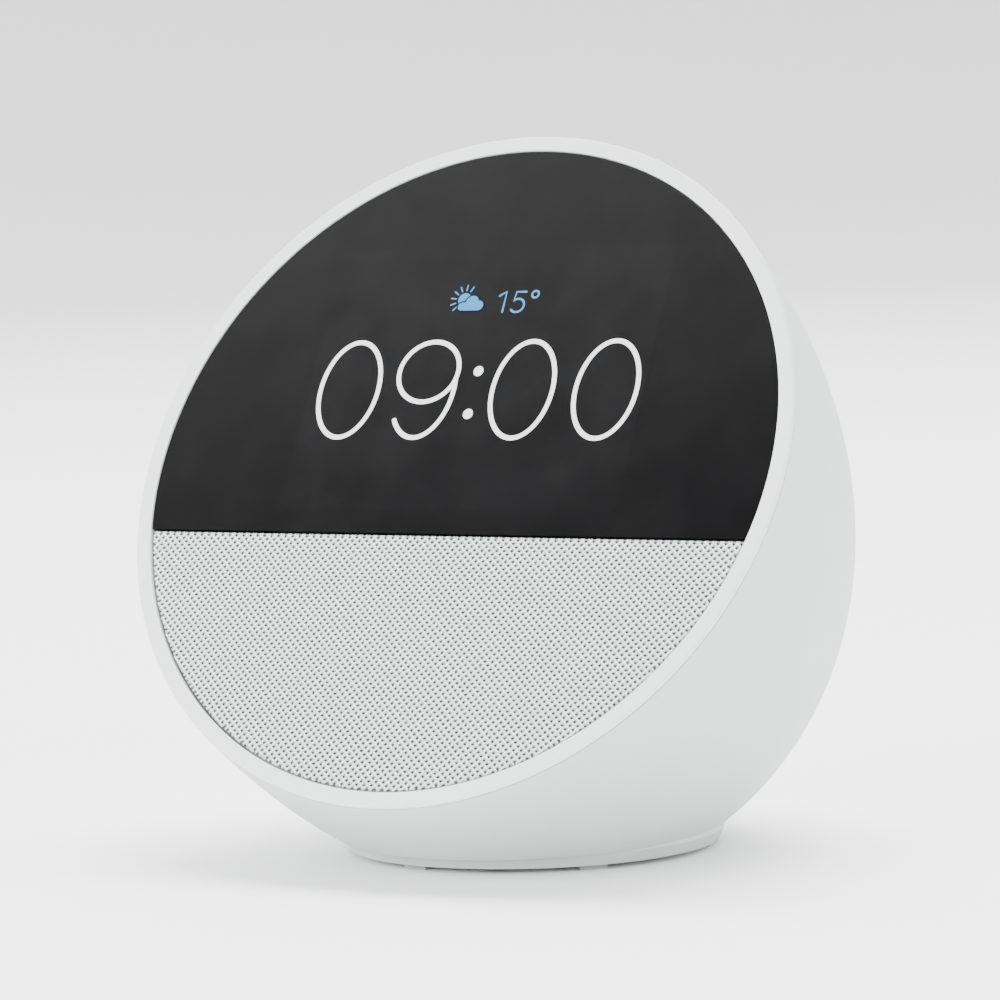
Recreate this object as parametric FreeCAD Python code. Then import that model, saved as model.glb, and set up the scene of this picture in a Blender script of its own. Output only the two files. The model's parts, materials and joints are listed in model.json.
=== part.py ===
"""Round-faced smart display: a leaning disc face on an egg-shaped body that narrows to a small round base.

World frame: origin on the floor under the middle of the base, +Z up, the face looks towards -Y.
Face frame: x to the right, y up the face, z out of the face. A depth is measured back from the face plane.
Button frame: x to the right, z straight out of the body at the crest where the buttons sit.
"""

import FreeCAD, Part
import math
import os

from FreeCAD import Vector

# ---- body ---------------------------------------------------------------------------------------
face_diameter = 113.0       # the round front
body_depth = 76.6           # from the face plane to the far end of the body, square to the face
body_fullness = 2.35        # exponent of the depth term: 2 is an ellipse, more is a fuller shoulder
body_sag = 0.1044           # how far the body's middle drops per mm of depth
face_lean = 29.4            # degrees, top of the face backwards
rim_height = 12.6           # floor to the lowest point of the face
rim_overhang = 18.4         # how far the lowest point of the face stands out in front of the base
shell_wall = 2.2
fit_gap = 0.1               # around a piece that sits in another
slide_gap = 0.06            # around a button in its hole, and a coil in its slot
screw_gap = 0.02            # around a screw's shank in its pilot hole

# ---- bezel --------------------------------------------------------------------------------------
bezel_width = 2.5
bezel_lip = 0.5             # visible side of the bezel
bezel_edge_radius = 0.35
bezel_seam = 0.15           # shadow line between the bezel and the shell
bezel_step = 1.3            # how far the lip stands out over the rest of the bezel
bezel_seat = 2.5            # depth of the bezel's solid ring
skirt_depth = 6.5
skirt_wall = 1.4
glass_ledge = 1.55          # depth of the ledge that the glass and the grille sit on

# ---- screen -------------------------------------------------------------------------------------
screen_edge = -12.0         # height of the line between the glass and the fabric on the face
edge_gap = 0.2              # around the glass and the fabric
glass_setback = 0.2
glass_thickness = 1.2
tape_thickness = 0.15
active_width = 60.0
active_height = 45.0
active_centre = 14.5        # height of the picture's middle on the face
panel_border = 2.2
panel_bottom_border = 3.0
panel_thickness = 1.6
backlight_thickness = 2.0
backlight_short = 4.0       # how much shorter the backlight is than the panel, at its lower edge
bracket_thickness = 0.6
layer_gap = 0.05

# ---- chassis ------------------------------------------------------------------------------------
chassis_front = 6.0
chassis_thickness = 2.2
chassis_rim_wall = 1.2
divider_wall = 1.7
chassis_screw_inset = 5.6   # from the chassis rim to the middle of a chassis screw
chassis_screw_angles = (36.0, 144.0, -154.5, -25.5)
boss_radius = 3.0
rib_thickness = 1.6
rib_length = 12.0           # along the boss
rib_setback = 2.0           # behind the chassis
screw_radius = 1.0
screw_head_radius = 2.1
screw_head_height = 1.4
screw_length = 8.0

# ---- speaker ------------------------------------------------------------------------------------
fabric_thickness = 0.6
grille_plate = 0.6
grille_depth = 2.6
grille_hole_radius = 0.9
grille_hole_pitch = 3.0
driver_radius = 19.0
driver_flange_width = 2.5
driver_flange = 1.0
driver_depth = 6.3          # flange front to the motor's top plate
basket_foot_radius = 11.5
basket_wall = 1.0
surround_width = 2.8
surround_thickness = 0.4
cone_inner_radius = 6.45
cone_drop = 3.2
cone_thickness = 0.45
cone_travel = 1.0           # each way
coil_thickness = 0.5
coil_length = 7.5
spider_thickness = 0.3
pole_radius = 6.0
motor_radius = 11.0
top_plate_thickness = 1.5
magnet_thickness = 4.0
yoke_thickness = 1.5
gasket_thickness = 0.5
chamber_wall = 1.5
chamber_back_room = 2.5     # behind the motor
chamber_side_room = 1.5     # around the driver
chamber_floor = 8.0         # above the floor

# ---- electronics --------------------------------------------------------------------------------
board_thickness = 1.2
board_width = 64.0
board_bottom = -6.0         # height on the face
board_top = 38.0
board_depth = 12.0
standoff_radius = 2.2
standoff_inset = 4.0
can_width = 32.0
can_height = 22.0
can_depth = 2.6
can_wall = 0.3
pad_thickness = 0.4
spreader_thickness = 2.0
spreader_margin = 3.0
connector_depth = 2.0
flex_width = 12.0
flex_thickness = 0.2
flex_bend = 1.5
lead_radius = 0.6
lead_x = 8.6                # speaker leads, from the middle of the face
lead_spacing = 2.8
terminal_thickness = 1.2
lead_socket_width = 4.2
socket_height = 3.5
socket_inset = 1.0          # from the main board's lower edge
power_lead_x = -14.0        # power lead's socket, from the middle of the face
power_lead_radius = 1.1
power_lead_bend = 5.0
power_lead_run = 12.0       # straight run at each end
button_flex_x = 15.0
button_flex_width = 6.0
button_socket_inset = 1.5   # from the main board's upper edge

# ---- buttons ------------------------------------------------------------------------------------
button_depth = 22.0         # behind the face plane, at the crest of the body
button_spacing = 13.0
button_radius = 3.6
button_flange = 0.8         # how far the retaining flange stands out around a button
button_flange_thickness = 0.9
button_proud = 0.35
button_travel = 0.5
button_stem_radius = 1.3
button_board_length = 50.0
button_board_width = 11.0
button_board_thickness = 1.0
button_board_drop = 9.4     # crest of the body to the board's upper face
button_post_spacing = 22.0
button_post_skin = 0.8       # left over a board screw's point
wall_slant = 1.15            # wall thickness along a button's axis, over the wall's own
switch_size = 4.5
switch_height = 1.6
plunger_height = 0.5
plunger_radius = 1.0
microphone_offset = 6.5
microphone_port_radius = 0.5
microphone_height = 1.0
microphone_size = (3.4, 2.6)
microphone_seal_radius = 1.6

# ---- power inlet --------------------------------------------------------------------------------
inlet_height = 30.0         # floor to the inlet's axis
inlet_radius = 4.2          # hole that the plug's sleeve goes into
inlet_length = 3.0
inlet_seat_radius = 5.5
inlet_seat_depth = 2.2
inlet_boss_radius = 7.0
jack_width = 9.0
jack_length = 12.0
jack_bore_radius = 2.8
jack_bore_depth = 9.0
jack_pin_radius = 0.8
jack_clearance = 0.2
power_board_width = 20.0
power_board_length = 20.0
power_post_spacing = 14.0

# ---- base ---------------------------------------------------------------------------------------
base_radius = 29.9
foot_height = 0.8           # how far the pads stand below the base plate
base_plate_thickness = 1.8
base_plate_taper = 0.8
toe_height = 4.0            # height of the shell's vertical foot
toe_flare = 0.9
base_ring_thickness = 2.0   # inner ledge of the shell that the base plate screws to
base_opening_radius = 24.5
foot_count = 6
foot_phase = -11.0          # degrees from the front, towards the right
foot_length = 4.4
foot_width = 3.2
foot_inset = 1.2            # from the base plate's lower edge
foot_recess = 0.6
base_screw_count = 3
base_screw_inset = 3.6
base_screw_length = 5.0
base_boss_height = 4.8
weight_radius = 23.0
weight_thickness = 2.8

# ---- values that follow -------------------------------------------------------------------------
face_radius = face_diameter / 2
lean = math.radians(face_lean)
shell_bottom = foot_height + base_plate_thickness
face_y = face_radius * math.sin(lean) - base_radius - rim_overhang
face_z = face_radius * math.cos(lean) + rim_height
window_radius = face_radius - bezel_width
socket_radius = face_radius - shell_wall
skirt_radius = socket_radius - fit_gap
skirt_inner_radius = skirt_radius - skirt_wall
glass_radius = window_radius - edge_gap
glass_back = glass_setback + glass_thickness
tape_back = glass_back + tape_thickness
panel_front = tape_back + layer_gap
panel_back = panel_front + panel_thickness
backlight_back = panel_back + layer_gap + backlight_thickness
chassis_radius = skirt_inner_radius - fit_gap
chassis_back = chassis_front + chassis_thickness
chassis_inner_radius = chassis_radius - chassis_rim_wall
chassis_screw_radius = chassis_radius - chassis_screw_inset
driver_y = -(chassis_radius - chamber_wall - fit_gap * 4 - driver_radius)
driver_front = chassis_back + gasket_thickness
motor_front = driver_front + driver_depth
magnet_front = motor_front + top_plate_thickness
yoke_front = magnet_front + magnet_thickness
motor_back = yoke_front + yoke_thickness
cone_outer_radius = driver_radius - driver_flange_width - surround_width
board_back = board_depth + board_thickness
power_board_z = inlet_height - jack_width / 2 - board_thickness
plunger_top = -button_board_drop + switch_height + plunger_height

FACE = FreeCAD.Placement(Vector(0, face_y, face_z), FreeCAD.Rotation(Vector(1, 0, 0), 90 - face_lean))


# ---- shapes in the face frame -------------------------------------------------------------------
def disc(radius, front, back, x=0.0, y=0.0):
    """A round plate between two depths."""
    return Part.makeCylinder(radius, back - front, Vector(x, y, -back))


def ring(outer, inner, front, back, x=0.0, y=0.0):
    return disc(outer, front, back, x, y).cut(disc(inner, front - 1, back + 1, x, y))


def block(width, bottom, top, front, back, x=0.0):
    """A box, width across about x, between two heights on the face and two depths."""
    return Part.makeBox(width, top - bottom, back - front, Vector(x - width / 2, bottom, -back))


def turned(points, y=0.0):
    """A solid turned about the line square to the face at height y, from (radius, depth) points."""
    corners = [Vector(radius, 0, -depth) for radius, depth in points]
    solid = Part.Face(Part.makePolygon(corners + corners[:1])).revolve(Vector(), Vector(0, 0, 1), 360)
    solid.translate(Vector(0, y, 0))
    return solid


def above(height):
    """Everything on the face above a height."""
    return block(4 * face_radius, height, 4 * face_radius, -10, 60)


def below(height):
    return block(4 * face_radius, -4 * face_radius, height, -10, 60)


def on_face(shape):
    """A shape made in the face frame, moved to its place in the world."""
    shape.Placement = FACE.multiply(shape.Placement)
    return shape


def higher_than(height):
    """Everything in the world above a height over the floor."""
    side = 8 * face_radius
    return Part.makeBox(side, side, side, Vector(-side / 2, -side / 2, height))


def screw(length):
    """A pan-head screw that points down from the origin."""
    shank = Part.makeCylinder(screw_radius, length, Vector(0, 0, -length))
    head = Part.makeCylinder(screw_head_radius, screw_head_height)
    slot_width = screw_head_radius * 0.3
    slot = Part.makeBox(3 * screw_head_radius, slot_width, screw_head_height / 2,
                        Vector(-1.5 * screw_head_radius, -slot_width / 2, screw_head_height / 2))
    cross = slot.copy().rotate(Vector(), Vector(0, 0, 1), 90)
    return shank.fuse(head.cut(slot).cut(cross)).removeSplitter()


def set_at(shape, x, y, depth, from_behind=False):
    """A copy of a shape at a place on the face, head forwards, or backwards when driven from behind."""
    placed = shape.copy()
    if from_behind:
        placed.rotate(Vector(), Vector(1, 0, 0), 180)
    placed.translate(Vector(x, y, -depth))
    return placed


def chassis_screw_places():
    for angle in chassis_screw_angles:
        turn = math.radians(angle)
        yield chassis_screw_radius * math.cos(turn), chassis_screw_radius * math.sin(turn)


def standoff_places():
    for x in (standoff_inset - board_width / 2, board_width / 2 - standoff_inset):
        for y in (board_bottom + standoff_inset, board_top - standoff_inset):
            yield x, y


def driver_screw_places():
    reach = (driver_radius - driver_flange_width / 2) / math.sqrt(2)
    for x in (-reach, reach):
        for y in (-reach, reach):
            yield x, driver_y + y


# ---- body ---------------------------------------------------------------------------------------
def body_radius(depth, radius=face_radius, length=body_depth):
    return radius * math.sqrt(max(0.0, 1 - (depth / length) ** body_fullness))


def body_taper(depth):
    """How fast the body's radius falls with depth."""
    share = (depth / body_depth) ** body_fullness
    return face_radius * body_fullness * share / (2 * depth * math.sqrt(1 - share))


def body_solid(radius, length):
    """The full egg, in the face frame: round sections parallel to the face, each a little lower than the last."""
    steps = 10
    points = []
    for step in range(steps + 1):
        turn = math.pi / 2 * step / steps
        depth = length * math.sin(turn) ** (2 / body_fullness)
        points.append(Vector(radius * math.cos(turn), 0, -depth))
    points[-1] = Vector(0, 0, -length)
    curve = Part.BSplineCurve()
    curve.interpolate(Points=points, InitialTangent=Vector(0, 0, -1), FinalTangent=Vector(-1, 0, 0))
    axis = Part.makeLine(points[-1], Vector())
    front = Part.makeLine(Vector(), points[0])
    outline = Part.Face(Part.Wire([curve.toShape(), axis, front]))
    egg = outline.revolve(Vector(), Vector(0, 0, 1), 360)
    lean_down = FreeCAD.Matrix()
    lean_down.A23 = body_sag
    return egg.transformGeometry(lean_down)


def inner_body():
    return on_face(body_solid(face_radius - shell_wall, body_depth - shell_wall))


def outer_body():
    return on_face(body_solid(face_radius, body_depth))


def foot_toe():
    """The short flared foot that turns the egg's underside into a round base."""
    return Part.makeCone(base_radius, base_radius + toe_flare, toe_height, Vector(0, 0, shell_bottom))


def chassis_boss_shapes():
    """Bosses and ribs that run back until the shell takes them in, and their pilot holes."""
    bosses = []
    holes = []
    start = chassis_back
    for x, y in chassis_screw_places():
        bosses.append(disc(boss_radius, start, body_depth, x, y))
        rib = Part.makeBox(face_radius, rib_thickness, rib_length, Vector(0, -rib_thickness / 2, 0))
        rib.rotate(Vector(), Vector(0, 0, 1), math.degrees(math.atan2(y, x)))
        rib.translate(Vector(x, y, -start - rib_length - rib_setback))
        bosses.append(rib)
        holes.append(disc(screw_radius + screw_gap, start - 1, start + screw_length, x, y))
    return bosses, holes


def base_screw_places():
    """Halfway between two foot pads, as (x, y) in the world."""
    pitch = 360 / foot_count
    for turn in range(base_screw_count):
        angle = math.radians(foot_phase + pitch / 2 + turn * 360 / base_screw_count)
        reach = base_radius - base_screw_inset
        yield reach * math.sin(angle), -reach * math.cos(angle)


def rear_shell(outer, inlet_y):
    """The egg with its hollow, its base opening and its front socket cut out, and bosses left standing inside."""
    bosses, holes = chassis_boss_shapes()
    bosses = [on_face(boss) for boss in bosses]
    holes = [on_face(hole) for hole in holes]
    for more_bosses, more_holes in (base_bosses(), button_posts(), power_posts(inlet_y), inlet_seat(inlet_y)):
        bosses += more_bosses
        holes += more_holes
    hollow = inner_body().common(higher_than(shell_bottom + base_ring_thickness)).cut(bosses)
    shell = outer.fuse(foot_toe()).common(higher_than(shell_bottom)).cut(hollow)
    front_cuts = [disc(2 * face_radius, -5, bezel_lip + bezel_seam),
                  disc(face_radius - bezel_step + fit_gap, -5, bezel_seat + fit_gap),
                  disc(socket_radius, -5, skirt_depth + fit_gap * 5)]
    opening_height = base_ring_thickness + 1
    opening = Part.makeCylinder(base_opening_radius, 2 * opening_height, Vector(0, 0, shell_bottom - opening_height))
    for cut in [opening] + [on_face(cut) for cut in front_cuts] + holes + button_holes():
        shell = shell.cut(cut)
    return shell


def base_bosses():
    bosses = []
    holes = []
    for x, y in base_screw_places():
        bosses.append(Part.makeCylinder(boss_radius, base_boss_height, Vector(x, y, shell_bottom)))
        start = Vector(x, y, shell_bottom - 0.5)
        holes.append(Part.makeCylinder(screw_radius + screw_gap, base_screw_length, start))
    return bosses, holes


def button_posts():
    bosses = []
    holes = []
    for x in (-button_post_spacing, button_post_spacing):
        post = Part.makeCylinder(boss_radius, button_board_drop, Vector(x, 0, -button_board_drop))
        bosses.append(at_crest(post))
        start = Vector(x, 0, -button_board_drop - 1)
        holes.append(at_crest(Part.makeCylinder(screw_radius + screw_gap, button_post_screw() + 1, start)))
    return bosses, holes


def power_posts(inlet_y):
    bosses = []
    holes = []
    for x, y in power_post_places(inlet_y):
        bosses.append(Part.makeCylinder(boss_radius, power_board_z - shell_bottom, Vector(x, y, shell_bottom)))
        start = Vector(x, y, power_board_z - screw_length + 1)
        holes.append(Part.makeCylinder(screw_radius + screw_gap, screw_length, start))
    return bosses, holes


def inlet_seat(inlet_y):
    """A thick ring inside the wall, with a flat seat for the plug's collar and the hole for its sleeve."""
    inwards = Vector(0, -1, 0)
    seat_y = inlet_y - inlet_seat_depth
    boss = Part.makeCylinder(inlet_boss_radius, inlet_length + 10, Vector(0, seat_y + 10, inlet_height), inwards)
    sleeve = Part.makeCylinder(inlet_radius, 20, Vector(0, seat_y + 5, inlet_height), inwards)
    collar = Part.makeCylinder(inlet_seat_radius, 20, Vector(0, seat_y + 20, inlet_height), inwards)
    return [boss], [sleeve, collar]


def button_holes():
    """Round holes for the three buttons and the two microphone ports, through the top of the shell."""
    start = 2 - button_board_drop
    holes = [at_crest(Part.makeCylinder(button_radius + slide_gap, button_board_drop, Vector(x, 0, start)))
             for x in button_places()]
    for x in (-microphone_offset, microphone_offset):
        holes.append(at_crest(Part.makeCylinder(microphone_port_radius, 8, Vector(x, 0, -6))))
    return holes


def front_bezel():
    edge = bezel_edge_radius
    round_off = edge * (1 - math.sqrt(0.5))
    outline = [
        Vector(window_radius, 0, 0),
        Vector(face_radius - edge, 0, 0),
        Vector(face_radius, 0, -edge),
        Vector(face_radius, 0, -bezel_lip),
        Vector(face_radius - bezel_step, 0, -bezel_lip),
        Vector(face_radius - bezel_step, 0, -bezel_seat),
        Vector(skirt_radius, 0, -bezel_seat),
        Vector(skirt_radius, 0, -skirt_depth),
        Vector(skirt_inner_radius, 0, -skirt_depth),
        Vector(skirt_inner_radius, 0, -glass_ledge),
        Vector(window_radius, 0, -glass_ledge),
    ]
    corner = Part.Arc(outline[1], Vector(face_radius - round_off, 0, -round_off), outline[2]).toShape()
    sides = [Part.makeLine(outline[0], outline[1]), corner]
    sides += [Part.makeLine(outline[i], outline[(i + 1) % len(outline)]) for i in range(2, len(outline))]
    return Part.Face(Part.Wire(sides)).revolve(Vector(), Vector(0, 0, 1), 360)


# ---- screen -------------------------------------------------------------------------------------
def cover_glass():
    return disc(glass_radius, glass_setback, glass_back).common(above(screen_edge + edge_gap / 2))


def lens_adhesive():
    """Black tape round the edge of the glass, open where the picture shows."""
    tape = disc(chassis_radius, glass_back, tape_back).common(above(screen_edge + 2 * edge_gap))
    bottom = active_centre - active_height / 2
    opening = block(active_width + 1, bottom - 0.5, bottom + active_height + 0.5, 0, 10)
    return tape.cut(opening)


def touch_sensor():
    bottom = active_centre - active_height / 2
    return block(active_width + 0.6, bottom - 0.3, bottom + active_height + 0.3, glass_back, tape_back)


def panel_span():
    """Lower and upper edge of the panel on the face, and its width."""
    bottom = active_centre - active_height / 2 - panel_bottom_border
    top = active_centre + active_height / 2 + panel_border
    return bottom, top, active_width + 2 * panel_border


def display_panel():
    bottom, top, width = panel_span()
    return block(width, bottom, top, panel_front, panel_back)


def display_backlight():
    bottom, top, width = panel_span()
    tray = block(width, bottom + backlight_short, top, panel_back + layer_gap, backlight_back)
    return tray


def display_bracket():
    """Steel plate behind the backlight, folded forwards along its two sides."""
    bottom, top, width = panel_span()
    low = bottom + backlight_short
    back = backlight_back + layer_gap
    plate = block(width + 2 * bracket_thickness + 2 * fit_gap, low, top, back, back + bracket_thickness)
    side = width / 2 + fit_gap + bracket_thickness / 2
    for x in (-side, side):
        plate = plate.fuse(block(bracket_thickness, low, top, panel_back, back, x))
    return plate.removeSplitter()


def flex_height():
    return panel_span()[0] + backlight_short / 2


def display_flex():
    """Ribbon from the back of the panel, through the chassis, bent up to the main board's socket."""
    bend = flex_bend
    y = flex_height()
    end = board_bottom + socket_inset
    turn_depth = board_back + connector_depth / 2 + flex_thickness / 2
    half = flex_thickness / 2
    straight = block(flex_width, y - half, y + half, panel_back, turn_depth - bend)
    across = Vector(1, 0, 0)
    centre = Vector(-flex_width / 2, y + bend, bend - turn_depth)
    curl = Part.makeCylinder(bend + half, flex_width, centre, across)
    curl = curl.cut(Part.makeCylinder(bend - half, flex_width + 2, centre - across, across))
    curl = curl.common(block(flex_width, y - bend, y + bend, turn_depth - bend, turn_depth + bend))
    rise = block(flex_width, y + bend, end, turn_depth - half, turn_depth + half)
    return straight.fuse([curl, rise]).removeSplitter()


# ---- chassis ------------------------------------------------------------------------------------
def chassis():
    plate = disc(chassis_radius, chassis_front, chassis_back)
    rim = ring(chassis_radius, chassis_inner_radius, tape_back + layer_gap, chassis_front)
    rim = rim.cut(below(screen_edge).common(disc(2 * face_radius, 0, grille_depth + layer_gap)))
    divider = block(4 * face_radius, screen_edge - 1.0, screen_edge - 1.0 + divider_wall, 0, chassis_front)
    divider = divider.common(disc(chassis_radius, grille_depth + layer_gap, chassis_front))
    body = plate.fuse([rim, divider])
    body = body.fuse([disc(standoff_radius, chassis_back, board_depth, x, y) for x, y in standoff_places()])
    cuts = [disc(driver_radius - driver_flange_width + 0.5, 0, 20, 0, driver_y)]
    cuts += [disc(screw_radius + fit_gap, 0, 20, x, y) for x, y in chassis_screw_places()]
    cuts += [disc(screw_radius + screw_gap, board_depth - screw_length / 2, 20, x, y) for x, y in standoff_places()]
    cuts += [disc(screw_radius + screw_gap, chassis_front + 0.4, 20, x, y) for x, y in driver_screw_places()]
    slot_y = flex_height()
    cuts.append(block(flex_width + 1, slot_y - 0.6, slot_y + 0.6, 0, 20))
    return body.cut(cuts).removeSplitter()


def chassis_screws():
    return [set_at(screw(screw_length), x, y, chassis_front) for x, y in chassis_screw_places()]


# ---- speaker ------------------------------------------------------------------------------------
def speaker_fabric():
    front = glass_setback + 0.05
    return disc(glass_radius, front, front + fabric_thickness).common(below(screen_edge - edge_gap / 2))


def speaker_grille():
    """Perforated carrier that the fabric is stretched over."""
    front = glass_setback + 0.05 + fabric_thickness
    plate = disc(glass_radius - 0.2, front, front + grille_plate).common(below(screen_edge - edge_gap))
    core = disc(chassis_inner_radius - fit_gap, front, grille_depth).common(below(screen_edge - 2 * edge_gap))
    holes = []
    open_radius = driver_radius - driver_flange_width - grille_hole_radius
    rows = int(open_radius / (grille_hole_pitch * math.sin(math.pi / 3)))
    columns = int(open_radius / grille_hole_pitch) + 1
    for row in range(-rows, rows + 1):
        for column in range(-columns, columns + 1):
            x = (column + 0.5 * (row % 2)) * grille_hole_pitch
            y = row * grille_hole_pitch * math.sin(math.pi / 3)
            if math.hypot(x, y) < open_radius:
                holes.append(disc(grille_hole_radius, 0, 5, x, driver_y + y))
    return plate.fuse(core).removeSplitter().cut(holes)


def speaker_gasket():
    return ring(driver_radius, driver_radius - driver_flange_width + 0.5, chassis_back, driver_front, 0, driver_y).cut(
        [disc(screw_radius + fit_gap, 0, 30, x, y) for x, y in driver_screw_places()])


def speaker_basket():
    """Flange, tapering frame with four windows, and a seat for the motor."""
    inner = driver_radius - driver_flange_width
    flange_back = driver_front + driver_flange
    outline = [(inner, driver_front), (driver_radius, driver_front), (driver_radius, flange_back),
               (inner + basket_wall, flange_back), (basket_foot_radius + basket_wall, motor_front),
               (motor_radius - 2, motor_front), (motor_radius - 2, motor_front - basket_wall),
               (basket_foot_radius, motor_front - basket_wall), (inner, flange_back)]
    frame = turned(outline, driver_y)
    window = block(7.0, driver_y - 2 * driver_radius, driver_y + 2 * driver_radius,
                   flange_back + 1.0, motor_front - 2.0)
    across = window.copy()
    across.rotate(Vector(0, driver_y, 0), Vector(0, 0, 1), 90)
    holes = [disc(screw_radius + fit_gap, 0, 30, x, y) for x, y in driver_screw_places()]
    reliefs = [disc(screw_head_radius + fit_gap, flange_back, flange_back + screw_head_height + fit_gap, x, y)
               for x, y in driver_screw_places()]
    return frame.cut([window, across] + holes + reliefs)


def speaker_surround():
    """Half-round rubber roll between the cone and the basket."""
    middle = cone_outer_radius + surround_width / 2
    roll = surround_width / 2 - 0.4
    seat = driver_front + driver_flange - surround_thickness
    ring_outer = Part.makeTorus(middle, roll + surround_thickness / 2, Vector(0, driver_y, -seat))
    ring_inner = Part.makeTorus(middle, roll - surround_thickness / 2, Vector(0, driver_y, -seat))
    arch = ring_outer.cut(ring_inner).common(disc(driver_radius, seat - 5, seat, 0, driver_y))
    lip = ring(middle + roll + surround_thickness / 2 + 0.15, middle + roll - surround_thickness / 2,
               seat, seat + surround_thickness, 0, driver_y)
    neck = ring(middle - roll + surround_thickness / 2, cone_outer_radius + 0.05,
                seat, seat + surround_thickness, 0, driver_y)
    return arch.fuse([lip, neck])


def speaker_cone():
    front = driver_front + driver_flange - surround_thickness
    back = front + cone_drop
    return turned([(cone_outer_radius, front), (cone_outer_radius, front + cone_thickness),
                   (cone_inner_radius, back + cone_thickness), (cone_inner_radius, back)], driver_y)


def coil_front():
    return driver_front + driver_flange - surround_thickness + cone_drop - 1.0


def speaker_voice_coil():
    """Former and winding as one thin tube that hangs in the motor's slot."""
    inner = pole_radius + 0.2
    return ring(cone_inner_radius, inner, coil_front(), coil_front() + coil_length, 0, driver_y)


def speaker_dust_cap():
    """Shallow dome over the top of the coil."""
    radius = pole_radius + 0.2
    rise = 2.0
    ball = (radius ** 2 + rise ** 2) / (2 * rise)
    base = coil_front()
    centre = Vector(0, driver_y, rise - ball - base)
    shell = Part.makeSphere(ball, centre).cut(Part.makeSphere(ball - 0.3, centre))
    return shell.common(disc(radius + 0.1, base - rise - 1, base, 0, driver_y))


def speaker_spider():
    """Corrugated cloth disc that centres the coil."""
    depth = motor_front - basket_wall - spider_thickness
    spread = basket_foot_radius - 0.1 - cone_inner_radius - 0.05
    waves = 3
    points = []
    for side, offset in ((1, 0.0), (-1, spider_thickness)):
        steps = range(2 * waves + 1) if side > 0 else range(2 * waves, -1, -1)
        for step in steps:
            radius = cone_inner_radius + 0.05 + spread * step / (2 * waves)
            crest = 0.6 if step % 2 else 0.0
            points.append((radius, depth - crest + offset))
    return turned(points, driver_y)


def speaker_top_plate():
    return ring(motor_radius - 0.5, cone_inner_radius + coil_thickness, motor_front, magnet_front, 0, driver_y)


def speaker_magnet():
    return ring(motor_radius, cone_inner_radius + 2 * coil_thickness, magnet_front, yoke_front, 0, driver_y)


def speaker_yoke():
    return disc(motor_radius - 0.5, yoke_front, motor_back, 0, driver_y).fuse(
        disc(pole_radius, motor_front, yoke_front, 0, driver_y)).removeSplitter()


def speaker_screws():
    back = driver_front + driver_flange
    shank = back - chassis_front - 0.5
    return [set_at(screw(shank), x, y, back, from_behind=True) for x, y in driver_screw_places()]


def speaker_terminals():
    """Tag on the back of the flange, where the leads are soldered."""
    back = driver_front + driver_flange
    reach = driver_radius - driver_flange_width / 2
    height = math.sqrt(reach ** 2 - lead_x ** 2)
    low = driver_y + height - lead_socket_width * 0.38
    high = driver_y + height + lead_socket_width / 2
    tag = block(lead_socket_width, low, high, back, back + terminal_thickness, lead_x)
    return tag.common(disc(driver_radius + 0.5, 0, back + 5, 0, driver_y)).cut(speaker_basket())


def lead_places():
    return (lead_x - lead_spacing / 2, lead_x + lead_spacing / 2)


def lead_depth():
    return board_back + connector_depth / 2


def bent_tube(points, radius, bend):
    """A tube along straight runs joined by arcs of one bend radius."""
    edges = []
    start = points[0]
    for before, corner, after in zip(points, points[1:], points[2:]):
        back = (before - corner).normalize()
        on = (after - corner).normalize()
        half = back.getAngle(on) / 2
        reach = bend / math.tan(half)
        middle = corner + (back + on).normalize() * (bend / math.sin(half) - bend)
        edges.append(Part.makeLine(start, corner + back * reach))
        edges.append(Part.Arc(corner + back * reach, middle, corner + on * reach).toShape())
        start = corner + on * reach
    edges.append(Part.makeLine(start, points[-1]))
    section = Part.Wire(Part.makeCircle(radius, points[0], points[1] - points[0]))
    return Part.Wire(edges).makePipeShell([section], True, False)


def speaker_leads():
    """Two wires from the tag back past the chassis, then up to their socket."""
    low = driver_front + driver_flange + terminal_thickness
    reach = driver_radius - driver_flange_width / 2
    y = driver_y + math.sqrt(reach ** 2 - lead_x ** 2)
    depth = lead_depth()
    top = board_bottom + socket_inset
    return [bent_tube([Vector(x, y, -low), Vector(x, y, -depth), Vector(x, top, -depth)], lead_radius, 1.5)
            for x in lead_places()]


def chamber_space(margin, extra_back):
    """The sealed space behind the driver, shrunk by a margin on every side but the front."""
    radius = driver_radius + chamber_side_room + chamber_wall - margin
    back = motor_back + chamber_back_room + chamber_wall - margin + extra_back
    space = disc(radius, chassis_back, back, 0, driver_y).common(disc(chassis_radius - fit_gap - margin, 0, back + 5))
    return on_face(space).common(higher_than(chamber_floor + margin))


def speaker_chamber():
    cup = chamber_space(0.0, 0.0).cut(chamber_space(chamber_wall, 0.0))
    start = driver_y + driver_radius / 2
    upwards = Vector(0, 1, 0)
    holes = [on_face(Part.makeCylinder(lead_radius + screw_gap, 40, Vector(x, start, -lead_depth()), upwards))
             for x in lead_places()]
    return cup.cut(holes)


# ---- electronics --------------------------------------------------------------------------------
def main_board():
    board = block(board_width, board_bottom, board_top, board_depth, board_back)
    return board.cut([disc(screw_radius + fit_gap, 0, 40, x, y) for x, y in standoff_places()])


def board_screws():
    return [set_at(screw(screw_length / 2 + board_thickness - 0.5), x, y, board_back, from_behind=True)
            for x, y in standoff_places()]


def can_middle():
    return (board_bottom + board_top) / 2 + 3


def main_chips():
    """Processor, memory and storage under the can, and the radio beside it, each with its own size."""
    middle = can_middle()
    places = ((12.0, 12.0, 1.2, -7.0, -3.0), (9.0, 11.0, 1.0, 6.0, -3.0), (8.0, 4.0, 0.9, 7.0, 8.0))
    chips = [block(width, middle + y - height / 2, middle + y + height / 2, board_back, board_back + tall, x)
             for width, height, tall, x, y in places]
    chips.append(block(8.0, board_top - 7, board_top - 2, board_back, board_back + 1.4))
    return chips


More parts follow.
